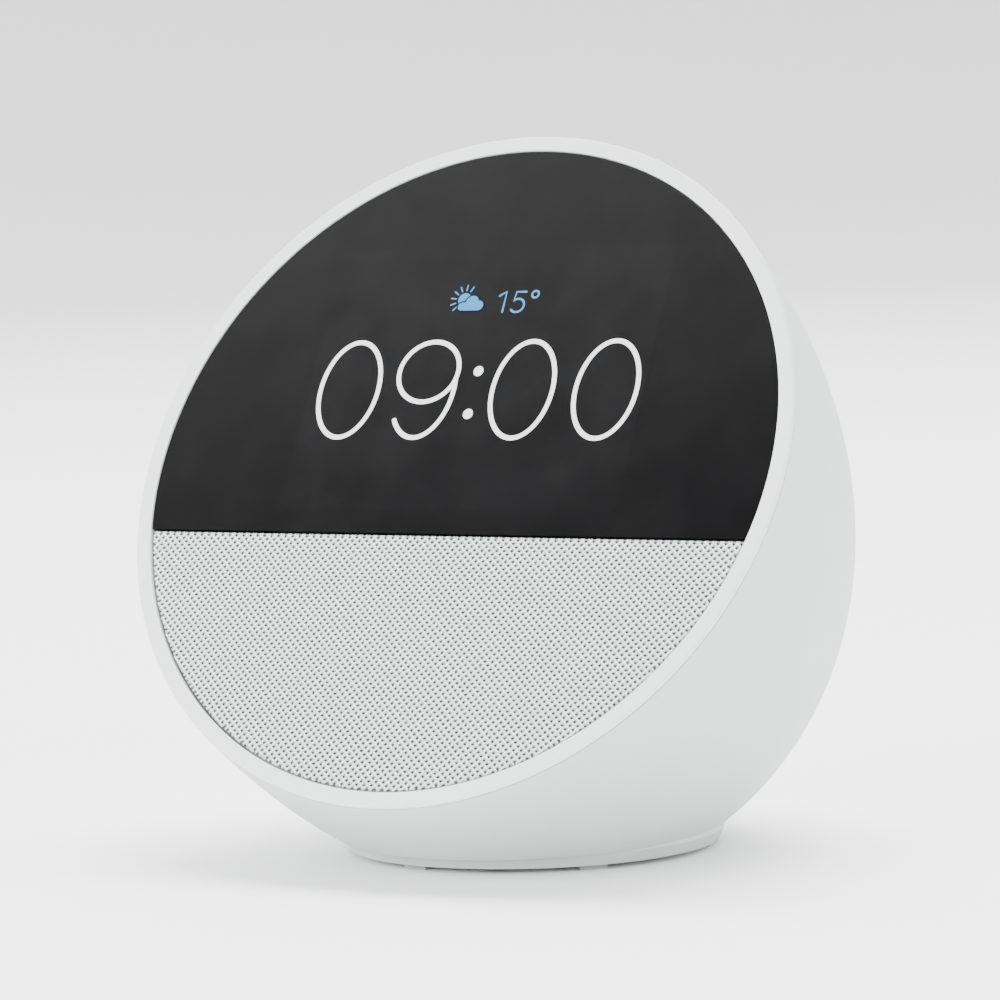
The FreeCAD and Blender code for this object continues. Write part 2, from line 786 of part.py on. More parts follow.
def shield_can():
    middle = can_middle()
    outer = block(can_width, middle - can_height / 2, middle + can_height / 2, board_back, board_back + can_depth)
    inner = block(can_width - 2 * can_wall, middle - can_height / 2 + can_wall, middle + can_height / 2 - can_wall,
                  board_back, board_back + can_depth - can_wall)
    return outer.cut(inner)


def thermal_pad():
    middle = can_middle()
    front = board_back + can_depth
    return block(can_width - 6, middle - can_height / 2 + 3, middle + can_height / 2 - 3, front, front + pad_thickness)


def heat_spreader():
    """Ribbed aluminium plate on the shield can."""
    middle = can_middle()
    front = board_back + can_depth + pad_thickness
    width = can_width + 2 * spreader_margin
    low = middle - can_height / 2 - spreader_margin
    high = middle + can_height / 2 + spreader_margin
    plate = block(width, low, high, front, front + spreader_thickness)
    fin_count = 7
    fins = [block(1.2, low, high, front + spreader_thickness, front + spreader_thickness * 2.5,
                  -width / 2 + 0.6 + (width - 1.2) * fin / (fin_count - 1)) for fin in range(fin_count)]
    return plate.fuse(fins).removeSplitter()


def board_connectors():
    """Sockets for the display ribbon, the speaker leads, the button ribbon and the power lead."""
    back = board_back + connector_depth
    low = board_bottom + socket_inset
    sockets = [block(width, low, low + socket_height, board_back, back, x)
               for width, x in ((flex_width + 4 * fit_gap, 0.0), (lead_socket_width, lead_x), (6.0, power_lead_x))]
    top = board_top - button_socket_inset
    sockets.append(block(button_flex_width + 2, top - socket_height, top, board_back, back, button_flex_x))
    return sockets


def wifi_antenna():
    """Thin strip on the back of the chassis, above the main board."""
    low = board_top + 2.0
    return block(30.0, low, low + 7.0, chassis_back, chassis_back + 0.5)


# ---- buttons ------------------------------------------------------------------------------------
def crest_frame():
    """Place of the button frame in the world."""
    slope = body_sag + body_taper(button_depth)
    top = body_radius(button_depth) - body_sag * button_depth
    outward = Vector(0, 1, -slope).normalize()
    across = Vector(1, 0, 0)
    turn = FreeCAD.Rotation(across, outward.cross(across), outward, "ZXY")
    return FACE.multiply(FreeCAD.Placement(Vector(0, top, -button_depth), turn))


def at_crest(shape):
    shape.Placement = crest_frame().multiply(shape.Placement)
    return shape


def button_places():
    return (-button_spacing, 0.0, button_spacing)


def crest_drop(x):
    """How far the body falls below its crest at a distance to the side."""
    radius = body_radius(button_depth)
    return radius - math.sqrt(radius ** 2 - x ** 2)


def button_post_screw():
    """How deep a board screw may go into its post before it nears the outside of the shell."""
    return button_board_drop - crest_drop(button_post_spacing) - button_post_skin


def button_flange_top(x):
    """Height of a button's flange, below the inside of the shell."""
    return -(crest_drop(abs(x) + button_radius + button_flange) + shell_wall * wall_slant + 3 * fit_gap)


def button(x, proud_body):
    """A cap that follows the body's surface, a flange that keeps it in, and a stem above its switch."""
    top = button_flange_top(x)
    cap = at_crest(Part.makeCylinder(button_radius, 3 - top, Vector(x, 0, top))).common(proud_body)
    flange = at_crest(Part.makeCylinder(button_radius + button_flange, button_flange_thickness,
                                        Vector(x, 0, top - button_flange_thickness)))
    stem_end = plunger_top + button_travel + layer_gap
    stem = at_crest(Part.makeCylinder(button_stem_radius, top - stem_end, Vector(x, 0, stem_end)))
    return cap.fuse([flange, stem]).removeSplitter()


def button_board():
    corner = Vector(-button_board_length / 2, -button_board_width / 2, -button_board_drop - button_board_thickness)
    board = Part.makeBox(button_board_length, button_board_width, button_board_thickness, corner)
    holes = [Part.makeCylinder(screw_radius + fit_gap, 30, Vector(x, 0, -25))
             for x in (-button_post_spacing, button_post_spacing)]
    return at_crest(board.cut(holes))


def button_switches():
    switches = []
    for x in button_places():
        corner = Vector(x - switch_size / 2, -switch_size / 2, -button_board_drop)
        case = Part.makeBox(switch_size, switch_size, switch_height, corner)
        plunger = Part.makeCylinder(plunger_radius, plunger_height, Vector(x, 0, switch_height - button_board_drop))
        switches.append(at_crest(case.fuse(plunger)))
    return switches


def microphones():
    width, length = microphone_size
    return [at_crest(Part.makeBox(width, length, microphone_height, Vector(x - width / 2, -length / 2, -button_board_drop)))
            for x in (-microphone_offset, microphone_offset)]


def microphone_seals():
    """Soft tubes from each port in the shell down to its microphone."""
    top = -shell_wall - 0.75
    low = microphone_height - button_board_drop
    seals = []
    for x in (-microphone_offset, microphone_offset):
        tube = Part.makeCylinder(microphone_seal_radius, top - low, Vector(x, 0, low))
        seals.append(at_crest(tube.cut(Part.makeCylinder(microphone_port_radius, 20, Vector(x, 0, -15)))))
    return seals


def button_board_screws():
    screws = []
    for x in (-button_post_spacing, button_post_spacing):
        one = screw(button_post_screw() + button_board_thickness - 0.5)
        one.rotate(Vector(), Vector(1, 0, 0), 180)
        one.translate(Vector(x, 0, -button_board_drop - button_board_thickness))
        screws.append(at_crest(one))
    return screws


def button_flex():
    """Ribbon from the main board's upper socket to the underside of the button board."""
    depth = board_back + connector_depth / 2
    start = board_top - button_socket_inset
    strip = on_face(block(button_flex_width, start, 2 * board_top, depth, depth + flex_thickness, button_flex_x))
    side = 4 * button_board_length
    over = Part.makeBox(side, side, side, Vector(-side / 2, -side / 2, -button_board_drop - button_board_thickness))
    return strip.cut(at_crest(over))


# ---- power inlet --------------------------------------------------------------------------------
def body_back_y(outer):
    """Where the inlet's axis meets the outside of the body."""
    line = Part.makeLine(Vector(0, 0, inlet_height), Vector(0, 4 * body_depth, inlet_height))
    return outer.common(line).BoundBox.YMax


def jack_front_y(inlet_y):
    return inlet_y - inlet_seat_depth - inlet_length - jack_clearance


def power_post_places(inlet_y):
    y = jack_front_y(inlet_y) - power_board_length + boss_radius
    return ((-power_post_spacing / 2, y), (power_post_spacing / 2, y))


def power_jack(inlet_y):
    front = jack_front_y(inlet_y)
    back = Vector(0, -1, 0)
    corner = Vector(-jack_width / 2, front - jack_length, inlet_height - jack_width / 2)
    case = Part.makeBox(jack_width, jack_length, jack_width, corner)
    bore = Part.makeCylinder(jack_bore_radius, jack_bore_depth, Vector(0, front, inlet_height), back)
    pin = Part.makeCylinder(jack_pin_radius, jack_bore_depth, Vector(0, front - 0.5, inlet_height), back)
    return case.cut(bore).fuse(pin).removeSplitter()


def power_board(inlet_y):
    front = jack_front_y(inlet_y) - 0.5
    board = Part.makeBox(power_board_width, power_board_length, board_thickness,
                         Vector(-power_board_width / 2, front - power_board_length, power_board_z))
    return board.cut([Part.makeCylinder(screw_radius + fit_gap, 10, Vector(x, y, power_board_z - 5))
                      for x, y in power_post_places(inlet_y)])


def power_board_screws(inlet_y):
    screws = []
    for x, y in power_post_places(inlet_y):
        one = screw(screw_length - 1)
        one.translate(Vector(x, y, power_board_z + board_thickness))
        screws.append(one)
    return screws


def power_parts_on_board(inlet_y):
    """Two capacitors and a coil beside the jack."""
    front = jack_front_y(inlet_y) - jack_length
    top = power_board_z + board_thickness
    parts = [Part.makeCylinder(2.0, 5.0, Vector(0, front - 2.6, top)),
             Part.makeBox(4.0, 4.0, 2.5, Vector(jack_width / 2 + 0.6, front + 2, top)),
             Part.makeBox(4.0, 6.0, 1.8, Vector(-jack_width / 2 - 4.6, front + 2, top))]
    return parts


def power_lead(inlet_y):
    """Round cable from the power board to its socket on the main board."""
    x = jack_width / -2 - 2.5
    start = Vector(x, jack_front_y(inlet_y) - power_board_length + 7.0, power_board_z + board_thickness)
    low = board_bottom + socket_inset + socket_height / 2
    socket_back = board_back + connector_depth
    socket = FACE.multVec(Vector(power_lead_x, low, -socket_back))
    behind = FACE.multVec(Vector(power_lead_x, low, -socket_back - power_lead_run))
    return bent_tube([start, start + Vector(0, 0, power_lead_run), behind, socket], power_lead_radius, power_lead_bend)


# ---- base ---------------------------------------------------------------------------------------
def foot_places():
    for number in range(foot_count):
        yield math.radians(foot_phase + 360 * number / foot_count)


def foot_pad(angle, top):
    """A short curved pad under the edge of the base plate."""
    outer = base_radius - base_plate_taper - foot_inset
    pad = Part.makeCylinder(outer, top).cut(Part.makeCylinder(outer - foot_width, top))
    sector = Part.makeBox(foot_length, 2 * base_radius, top, Vector(-foot_length / 2, -2 * base_radius, 0))
    pad = pad.common(sector)
    pad.rotate(Vector(), Vector(0, 0, 1), math.degrees(angle))
    return pad


def foot_pads():
    return [foot_pad(angle, foot_height + foot_recess) for angle in foot_places()]


def base_plate():
    plate = Part.makeCone(base_radius - base_plate_taper, base_radius, base_plate_thickness, Vector(0, 0, foot_height))
    spigot = Part.makeCylinder(base_opening_radius - fit_gap, base_ring_thickness, Vector(0, 0, shell_bottom))
    hollow = Part.makeCylinder(weight_radius + fit_gap, base_ring_thickness, Vector(0, 0, shell_bottom))
    plate = plate.fuse(spigot.cut(hollow)).removeSplitter()
    plate = plate.cut([foot_pad(angle, foot_height + foot_recess) for angle in foot_places()])
    for x, y in base_screw_places():
        plate = plate.cut([Part.makeCylinder(screw_radius + fit_gap, 10, Vector(x, y, 0)),
                           Part.makeCylinder(screw_head_radius + fit_gap, foot_height + 1.0, Vector(x, y, 0))])
    return plate


def base_screws():
    screws = []
    for x, y in base_screw_places():
        one = screw(base_screw_length)
        one.rotate(Vector(), Vector(1, 0, 0), 180)
        one.translate(Vector(x, y, foot_height + 1.0))
        screws.append(one.common(higher_than(foot_height + 0.1)))
    return screws


def base_weight():
    return Part.makeCylinder(weight_radius, weight_thickness, Vector(0, 0, shell_bottom))


# ---- whole object -------------------------------------------------------------------------------
def as_group(shapes):
    return Part.makeCompound(shapes) if isinstance(shapes, list) else shapes


def save(name, shape):
    shape = as_group(shape)
    shape.exportStep("parts/" + name + ".step")
    state = "ok" if shape.isValid() else "NOT VALID"
    print(f"{name:22s} {len(shape.Solids):3d} solids {shape.Volume:10.1f} mm3 {state}")


def main():
    os.makedirs("parts", exist_ok=True)
    outer = outer_body()
    inlet_y = body_back_y(outer)
    proud_body = on_face(body_solid(face_radius + button_proud, body_depth + button_proud))
    in_face_frame = (front_bezel, cover_glass, lens_adhesive, touch_sensor, display_panel, display_backlight,
                     display_bracket, display_flex, chassis, chassis_screws, speaker_fabric, speaker_grille,
                     speaker_gasket, speaker_basket, speaker_surround, speaker_cone, speaker_voice_coil,
                     speaker_dust_cap, speaker_spider, speaker_top_plate, speaker_magnet, speaker_yoke,
                     speaker_screws, speaker_terminals, speaker_leads, main_board, board_screws, main_chips,
                     shield_can, thermal_pad, heat_spreader, board_connectors, wifi_antenna)
    for make in in_face_frame:
        save(make.__name__, on_face(as_group(make())))
    in_world_frame = (speaker_chamber, button_board, button_switches, microphones, microphone_seals,
                      button_board_screws, button_flex, foot_pads, base_plate, base_screws, base_weight)
    for make in in_world_frame:
        save(make.__name__, make())
    for name, x in zip(("volume_down_button", "mute_button", "volume_up_button"), button_places()):
        save(name, button(x, proud_body))
    save("rear_shell", rear_shell(outer, inlet_y))
    save("power_jack", power_jack(inlet_y))
    save("power_board", power_board(inlet_y))
    save("power_board_screws", power_board_screws(inlet_y))
    save("power_parts", power_parts_on_board(inlet_y))
    save("power_lead", power_lead(inlet_y))
    button_axis = crest_frame().Rotation.multVec(Vector(0, 0, 1))
    print("inlet seat", round(inlet_y - inlet_seat_depth, 4), "button axis", button_axis)


main()
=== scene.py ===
"""Looks of a round smart display: finishes, speaker cloth, clock picture, button marks, light and camera."""

import json
import logging
import math
from dataclasses import dataclass, field
from enum import Enum
from typing import Callable, Iterable, Optional, Sequence

import bpy
import numpy as np
from mathutils import Matrix, Vector


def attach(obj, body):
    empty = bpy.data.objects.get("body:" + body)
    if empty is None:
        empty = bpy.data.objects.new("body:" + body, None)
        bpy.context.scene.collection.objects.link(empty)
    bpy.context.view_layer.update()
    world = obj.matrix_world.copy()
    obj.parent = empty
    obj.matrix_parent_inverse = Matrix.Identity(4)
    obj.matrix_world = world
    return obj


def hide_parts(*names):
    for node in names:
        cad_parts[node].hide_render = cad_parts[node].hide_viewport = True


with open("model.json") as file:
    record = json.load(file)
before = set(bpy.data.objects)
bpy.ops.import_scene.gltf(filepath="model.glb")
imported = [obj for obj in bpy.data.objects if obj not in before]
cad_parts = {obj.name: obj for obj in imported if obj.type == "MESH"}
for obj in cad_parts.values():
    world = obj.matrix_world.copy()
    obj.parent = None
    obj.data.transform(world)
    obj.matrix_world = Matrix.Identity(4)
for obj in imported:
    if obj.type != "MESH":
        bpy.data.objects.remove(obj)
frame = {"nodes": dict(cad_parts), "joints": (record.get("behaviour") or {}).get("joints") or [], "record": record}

log = logging.getLogger("smart_display")

MM = 0.001


# ---- small tools --------------------------------------------------------------------------------
def srgb(text: str) -> tuple[float, float, float, float]:
    """Turn an sRGB hex colour to linear.

    Args:
        text: Six hex digits.

    Returns:
        Linear red, green, blue and an alpha of one.
    """
    parts = [int(text[i:i + 2], 16) / 255 for i in (0, 2, 4)]
    linear = [p / 12.92 if p <= 0.04045 else ((p + 0.055) / 1.055) ** 2.4 for p in parts]
    return (*linear, 1.0)


def add_node(tree: bpy.types.NodeTree, kind: str, settings: Optional[dict] = None,
             inputs: Optional[dict] = None) -> bpy.types.Node:
    """Add a node with its settings, socket values and incoming links.

    Args:
        tree: The node tree that takes the node.
        kind: Blender's name of the node type.
        settings: Attributes to set on the node.
        inputs: Socket name or number to a value, or to the output socket to link from.

    Returns:
        The new node.
    """
    node = tree.nodes.new(kind)
    for name, value in (settings or {}).items():
        setattr(node, name, value)
    for key, value in (inputs or {}).items():
        if isinstance(value, bpy.types.NodeSocket):
            tree.links.new(value, node.inputs[key])
        else:
            node.inputs[key].default_value = value
    return node


def ramp(tree: bpy.types.NodeTree, fac: bpy.types.NodeSocket,
         stops: Sequence[tuple[float, tuple]]) -> bpy.types.NodeSocket:
    """Add a colour ramp.

    Args:
        tree: The node tree that takes the ramp.
        fac: The socket that drives it.
        stops: Places and colours, lowest first.

    Returns:
        The ramp's colour output.
    """
    node = add_node(tree, "ShaderNodeValToRGB", inputs={"Fac": fac})
    elements = node.color_ramp.elements
    while len(elements) < len(stops):
        elements.new(1.0)
    for element, (place, colour) in zip(elements, stops):
        element.position = place
        element.color = colour
    return node.outputs["Color"]


def blank_material(name: str) -> tuple[bpy.types.Material, bpy.types.NodeTree, bpy.types.Node]:
    """Make a material that holds only a shader and its output.

    Args:
        name: The finish, in a maker's words.

    Returns:
        The material, its node tree and its shader.
    """
    material = bpy.data.materials.new(name)
    material.use_nodes = True
    tree = material.node_tree
    tree.nodes.clear()
    shader = add_node(tree, "ShaderNodeBsdfPrincipled")
    add_node(tree, "ShaderNodeOutputMaterial", inputs={"Surface": shader.outputs[0]})
    return material, tree, shader


def deselect() -> None:
    """Leave edit mode and select nothing."""
    if bpy.context.object and bpy.context.object.mode != "OBJECT":
        bpy.ops.object.mode_set(mode="OBJECT")
    bpy.ops.object.select_all(action="DESELECT")


def select_only(obj: bpy.types.Object) -> None:
    """Select one object and make it active."""
    deselect()
    obj.select_set(True)
    bpy.context.view_layer.objects.active = obj


def pick_vertices(obj: bpy.types.Object, test: Callable[[Vector], bool]) -> None:
    """Select the vertices that pass a test, and stay in edit mode with them selected.

    Args:
        obj: The active mesh object.
        test: Says of a vertex's place whether it is picked.
    """
    bpy.ops.object.mode_set(mode="EDIT")
    bpy.ops.mesh.select_mode(type="VERT")
    bpy.ops.mesh.select_all(action="DESELECT")
    bpy.ops.object.mode_set(mode="OBJECT")
    for vertex in obj.data.vertices:
        vertex.select = test(vertex.co)
    bpy.ops.object.mode_set(mode="EDIT")


def finish_piece(obj: bpy.types.Object, name: str, place: Matrix, material: bpy.types.Material,
                 body: str) -> bpy.types.Object:
    """Name a piece, put its place in its mesh, give it its finish and let it ride.

    Args:
        obj: The modelled object.
        name: The piece's name.
        place: Where its own axes lie in the row frame.
        material: Its finish.
        body: The body it moves with.

    Returns:
        The same object.
    """
    deselect()
    obj.name = name
    obj.data.name = name
    obj.data.transform(place @ obj.matrix_world)
    obj.matrix_world = Matrix.Identity(4)
    obj.data.materials.clear()
    obj.data.materials.append(material)
    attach(obj, body)
    log.info("%s rides on %s with %d faces", name, body, len(obj.data.polygons))
    return obj


def join(parts: Sequence[bpy.types.Object]) -> bpy.types.Object:
    """Join mesh objects into the first of them."""
    deselect()
    for part in parts:
        part.select_set(True)
    bpy.context.view_layer.objects.active = parts[0]
    if len(parts) > 1:
        bpy.ops.object.join()
    return parts[0]


# ---- where the face and the buttons are ---------------------------------------------------------
@dataclass(frozen=True)
class Plane:
    """A flat frame: right, up along the surface, and out of it."""

    origin: Vector
    out: Vector

    @property
    def up(self) -> Vector:
        """The direction along the surface that is highest."""
        return self.out.cross(Vector((1, 0, 0))).normalized()

    def matrix(self, u: float = 0.0, v: float = 0.0, out: float = 0.0) -> Matrix:
        """The place of axes that sit at (u, v, out) in this frame."""
        right = Vector((1, 0, 0))
        turn = Matrix((right, self.up, self.out)).transposed().to_4x4()
        centre = self.origin + right * u + self.up * v + self.out * out
        return Matrix.Translation(centre) @ turn


def joint_axis(name: str) -> Vector:
    """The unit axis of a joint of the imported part."""
    return Vector(next(j["axis"] for j in frame["joints"] if j["name"] == name)).normalized()


def front_plane(node: str, out: Vector) -> Plane:
    """The plane through a node's most forward points, centred on them.

    Args:
        node: The CAD node.
        out: The plane's outward normal.

    Returns:
        The plane, with its origin in the middle of those points.
    """
    plane = Plane(Vector((0, 0, 0)), out)
    points = np.array([v.co for v in frame["nodes"][node].data.vertices])
    reach = points @ np.array(out)
    front = points[reach > reach.max() - 0.01 * MM]
    heights = front @ np.array(plane.up)
    across = (front[:, 0].min() + front[:, 0].max()) / 2
    origin = Vector((across, 0, 0)) + plane.up * float((heights.min() + heights.max()) / 2)
    return Plane(origin + out * float(reach.max()), out)


# ---- finishes -----------------------------------------------------------------------------------
class Grain(Enum):
    """How a surface was made, as the pattern of its bump."""

    MOULDED = "spark-eroded mould grain"
    ROLLED = "rolling lines"
    CAST = "cast skin"
    PRESSED = "pressed fibre"
    FOAMED = "open cells"


@dataclass(frozen=True)
class Solid:
    """A finish of one material, with the colour drift and the surface grain of how it was made."""

    name: str
    colour: str
    drift: str
    rough: float
    grain: Grain = Grain.MOULDED
    grain_mm: float = 0.35
    relief_mm: float = 0.006
    drift_mm: float = 18.0
    metallic: float = 0.0
    ior: float = 1.5
    coat: float = 0.0
    stretch: tuple[float, float, float] = (1.0, 1.0, 1.0)

    def material(self) -> bpy.types.Material:
        """Build the finish.

        Returns:
            The material.
        """
        material, tree, shader = blank_material(self.name)
        place = add_node(tree, "ShaderNodeTexCoord").outputs["Object"]
        drift = add_node(tree, "ShaderNodeTexNoise", inputs={
            "Vector": place, "Scale": 1 / (self.drift_mm * MM), "Detail": 3.0, "Roughness": 0.55})
        colour = ramp(tree, drift.outputs["Fac"], [(0.32, srgb(self.drift)), (0.68, srgb(self.colour))])
        lay = add_node(tree, "ShaderNodeMapping", inputs={"Vector": place, "Scale": self.stretch})
        if self.grain is Grain.FOAMED:
            cells = add_node(tree, "ShaderNodeTexVoronoi", inputs={
                "Vector": lay.outputs[0], "Scale": 1 / (self.grain_mm * MM)})
            height = cells.outputs["Distance"]
        else:
            detail = {Grain.CAST: 5.0, Grain.PRESSED: 4.0}.get(self.grain, 2.0)
            noise = add_node(tree, "ShaderNodeTexNoise", inputs={
                "Vector": lay.outputs[0], "Scale": 1 / (self.grain_mm * MM), "Detail": detail})
            height = noise.outputs["Fac"]
        spread = 0.04 + 0.1 * self.rough
        gloss = add_node(tree, "ShaderNodeMapRange", inputs={
            "Value": height, "To Min": self.rough - spread, "To Max": self.rough + spread})
        bump = add_node(tree, "ShaderNodeBump", inputs={
            "Height": height, "Strength": 1.0, "Distance": self.relief_mm * MM})
        tree.links.new(colour, shader.inputs["Base Color"])
        tree.links.new(gloss.outputs[0], shader.inputs["Roughness"])
        tree.links.new(bump.outputs[0], shader.inputs["Normal"])
        shader.inputs["Metallic"].default_value = self.metallic
        if self.metallic < 0.5:
            shader.inputs["IOR"].default_value = self.ior
        shader.inputs["Coat Weight"].default_value = self.coat
        return material


@dataclass(frozen=True)
class CircuitBoard:
    """Glass-epoxy laminate under green solder mask: fine weave below a glossy skin, with copper runs."""

    name: str = "solder masked glass epoxy laminate"
    mask: str = "0F4A2C"
    track: str = "1C6B40"
    track_mm: float = 1.6

    def material(self) -> bpy.types.Material:
        """Build the finish.

        Returns:
            The material.
        """
        material, tree, shader = blank_material(self.name)
        place = add_node(tree, "ShaderNodeTexCoord").outputs["Object"]
        runs = add_node(tree, "ShaderNodeTexBrick", inputs={
            "Vector": place, "Scale": 1 / (4 * self.track_mm * MM), "Mortar Size": 0.03,
            "Color1": srgb(self.mask), "Color2": srgb(self.mask), "Mortar": srgb(self.track)})
        bump = add_node(tree, "ShaderNodeBump", inputs={
            "Height": runs.outputs["Fac"], "Strength": 0.6, "Distance": 0.03 * MM})
        tree.links.new(runs.outputs["Color"], shader.inputs["Base Color"])
        tree.links.new(bump.outputs[0], shader.inputs["Normal"])
        shader.inputs["Roughness"].default_value = 0.32
        return material


@dataclass(frozen=True)
class CoverGlass:
    """Chemically strengthened glass, printed black behind: a deep gloss with a trace of handling haze."""

    name: str
    ink: str
    haze_mm: float = 9.0

    def material(self) -> bpy.types.Material:
        """Build the finish.

        Returns:
            The material.
        """
        material, tree, shader = blank_material(self.name)
        place = add_node(tree, "ShaderNodeTexCoord").outputs["Object"]
        haze = add_node(tree, "ShaderNodeTexNoise", inputs={
            "Vector": place, "Scale": 1 / (self.haze_mm * MM), "Detail": 4.0})
        gloss = add_node(tree, "ShaderNodeMapRange", inputs={
            "Value": haze.outputs["Fac"], "To Min": 0.05, "To Max": 0.11})
        tint = ramp(tree, haze.outputs["Fac"], [(0.3, srgb("050506")), (0.7, srgb(self.ink))])
        tree.links.new(tint, shader.inputs["Base Color"])
        tree.links.new(gloss.outputs[0], shader.inputs["Roughness"])
        shader.inputs["IOR"].default_value = 1.52
        return material


@dataclass(frozen=True)
class PictureLight:
    """Light from the liquid crystal panel, drawn in its dot rows, which are too fine to see one by one."""

    name: str
    colour: str
    strength: float
    row_mm: float = 0.18

    def material(self) -> bpy.types.Material:
        """Build the finish.

        Returns:
            The material.
        """
        material, tree, shader = blank_material(self.name)
        place = add_node(tree, "ShaderNodeTexCoord").outputs["Object"]
        rows = add_node(tree, "ShaderNodeTexWave", {"bands_direction": "Z"}, {
            "Vector": place, "Scale": 1 / (20 * self.row_mm * MM), "Distortion": 0.0})
        light = srgb(self.colour)
        dim = (*[0.93 * channel for channel in light[:3]], 1.0)
        glow = ramp(tree, rows.outputs["Fac"], [(0.0, dim), (1.0, light)])
        tree.links.new(glow, shader.inputs["Emission Color"])
        shader.inputs["Emission Strength"].default_value = self.strength
        shader.inputs["Base Color"].default_value = srgb("050505")
        shader.inputs["Roughness"].default_value = 0.4
        return material


@dataclass(frozen=True)
class KnitGround:
    """Grey ground yarn of the knitted speaker cloth: a dark open eye and a curl of yarn in every mesh."""

    cell_mm: tuple[float, float]
    name: str = "knitted polyester ground yarn"

    def material(self) -> bpy.types.Material:
        """Build the finish on the cloth's own map, which is in millimetres on the face.

        Returns:
            The material.
        """
        material, tree, shader = blank_material(self.name)
        flat = add_node(tree, "ShaderNodeUVMap", {"uv_map": "face_mm"}).outputs[0]
        wobble = add_node(tree, "ShaderNodeTexNoise", inputs={"Vector": flat, "Scale": 1.1, "Detail": 2.0})
        shift = add_node(tree, "ShaderNodeVectorMath", {"operation": "MULTIPLY_ADD"}, {
            0: wobble.outputs["Color"], 1: (0.34, 0.34, 0.0), 2: flat})
        split = add_node(tree, "ShaderNodeSeparateXYZ", inputs={0: shift.outputs[0]})
        across = add_node(tree, "ShaderNodeMath", {"operation": "MULTIPLY"}, {
            0: split.outputs["X"], 1: 1 / self.cell_mm[0]})
        along = add_node(tree, "ShaderNodeMath", {"operation": "MULTIPLY"}, {
            0: split.outputs["Y"], 1: 1 / self.cell_mm[1]})
        sides = []
        for operation in ("ADD", "SUBTRACT"):
            line = add_node(tree, "ShaderNodeMath", {"operation": operation}, {
                0: across.outputs[0], 1: along.outputs[0]})
            part = add_node(tree, "ShaderNodeMath", {"operation": "FRACT"}, {0: line.outputs[0]})
            centred = add_node(tree, "ShaderNodeMath", {"operation": "SUBTRACT"}, {0: part.outputs[0], 1: 0.46})
            sides.append(centred.outputs[0])
        cell = add_node(tree, "ShaderNodeCombineXYZ", inputs={0: sides[0], 1: sides[1]})
        reach = add_node(tree, "ShaderNodeVectorMath", {"operation": "LENGTH"}, {0: cell.outputs[0]})
        yarn = ramp(tree, reach.outputs["Value"], [
            (0.0, srgb("8E9191")), (0.1, srgb("5E6162")), (0.22, srgb("242627")),
            (0.34, srgb("3E4142")), (0.5, srgb("9EA2A2"))])
        bump = add_node(tree, "ShaderNodeBump", inputs={
            "Height": reach.outputs["Value"], "Strength": 0.8, "Distance": 0.2 * MM})
        tree.links.new(yarn, shader.inputs["Base Color"])
        tree.links.new(bump.outputs[0], shader.inputs["Normal"])
        shader.inputs["Roughness"].default_value = 0.9
        shader.inputs["Sheen Weight"].default_value = 0.15
        return material


@dataclass(frozen=True)
class WhiteYarn:
    """Bright texturised polyester yarn: matt, soft at its edges, with a fine twist along it."""

    name: str = "texturised polyester yarn"
    twist_mm: float = 0.16

    def material(self) -> bpy.types.Material:
        """Build the finish.

        Returns:
            The material.
        """
        material, tree, shader = blank_material(self.name)
        place = add_node(tree, "ShaderNodeTexCoord").outputs["Object"]
        twist = add_node(tree, "ShaderNodeTexNoise", inputs={
            "Vector": place, "Scale": 1 / (self.twist_mm * MM), "Detail": 2.0})
        tint = ramp(tree, twist.outputs["Fac"], [(0.3, srgb("B4B8B7")), (0.65, srgb("DFE2E1"))])
        bump = add_node(tree, "ShaderNodeBump", inputs={
            "Height": twist.outputs["Fac"], "Strength": 0.7, "Distance": 0.03 * MM})
        tree.links.new(tint, shader.inputs["Base Color"])
        tree.links.new(bump.outputs[0], shader.inputs["Normal"])
        shader.inputs["Roughness"].default_value = 0.85
        shader.inputs["Sheen Weight"].default_value = 0.25
        return material


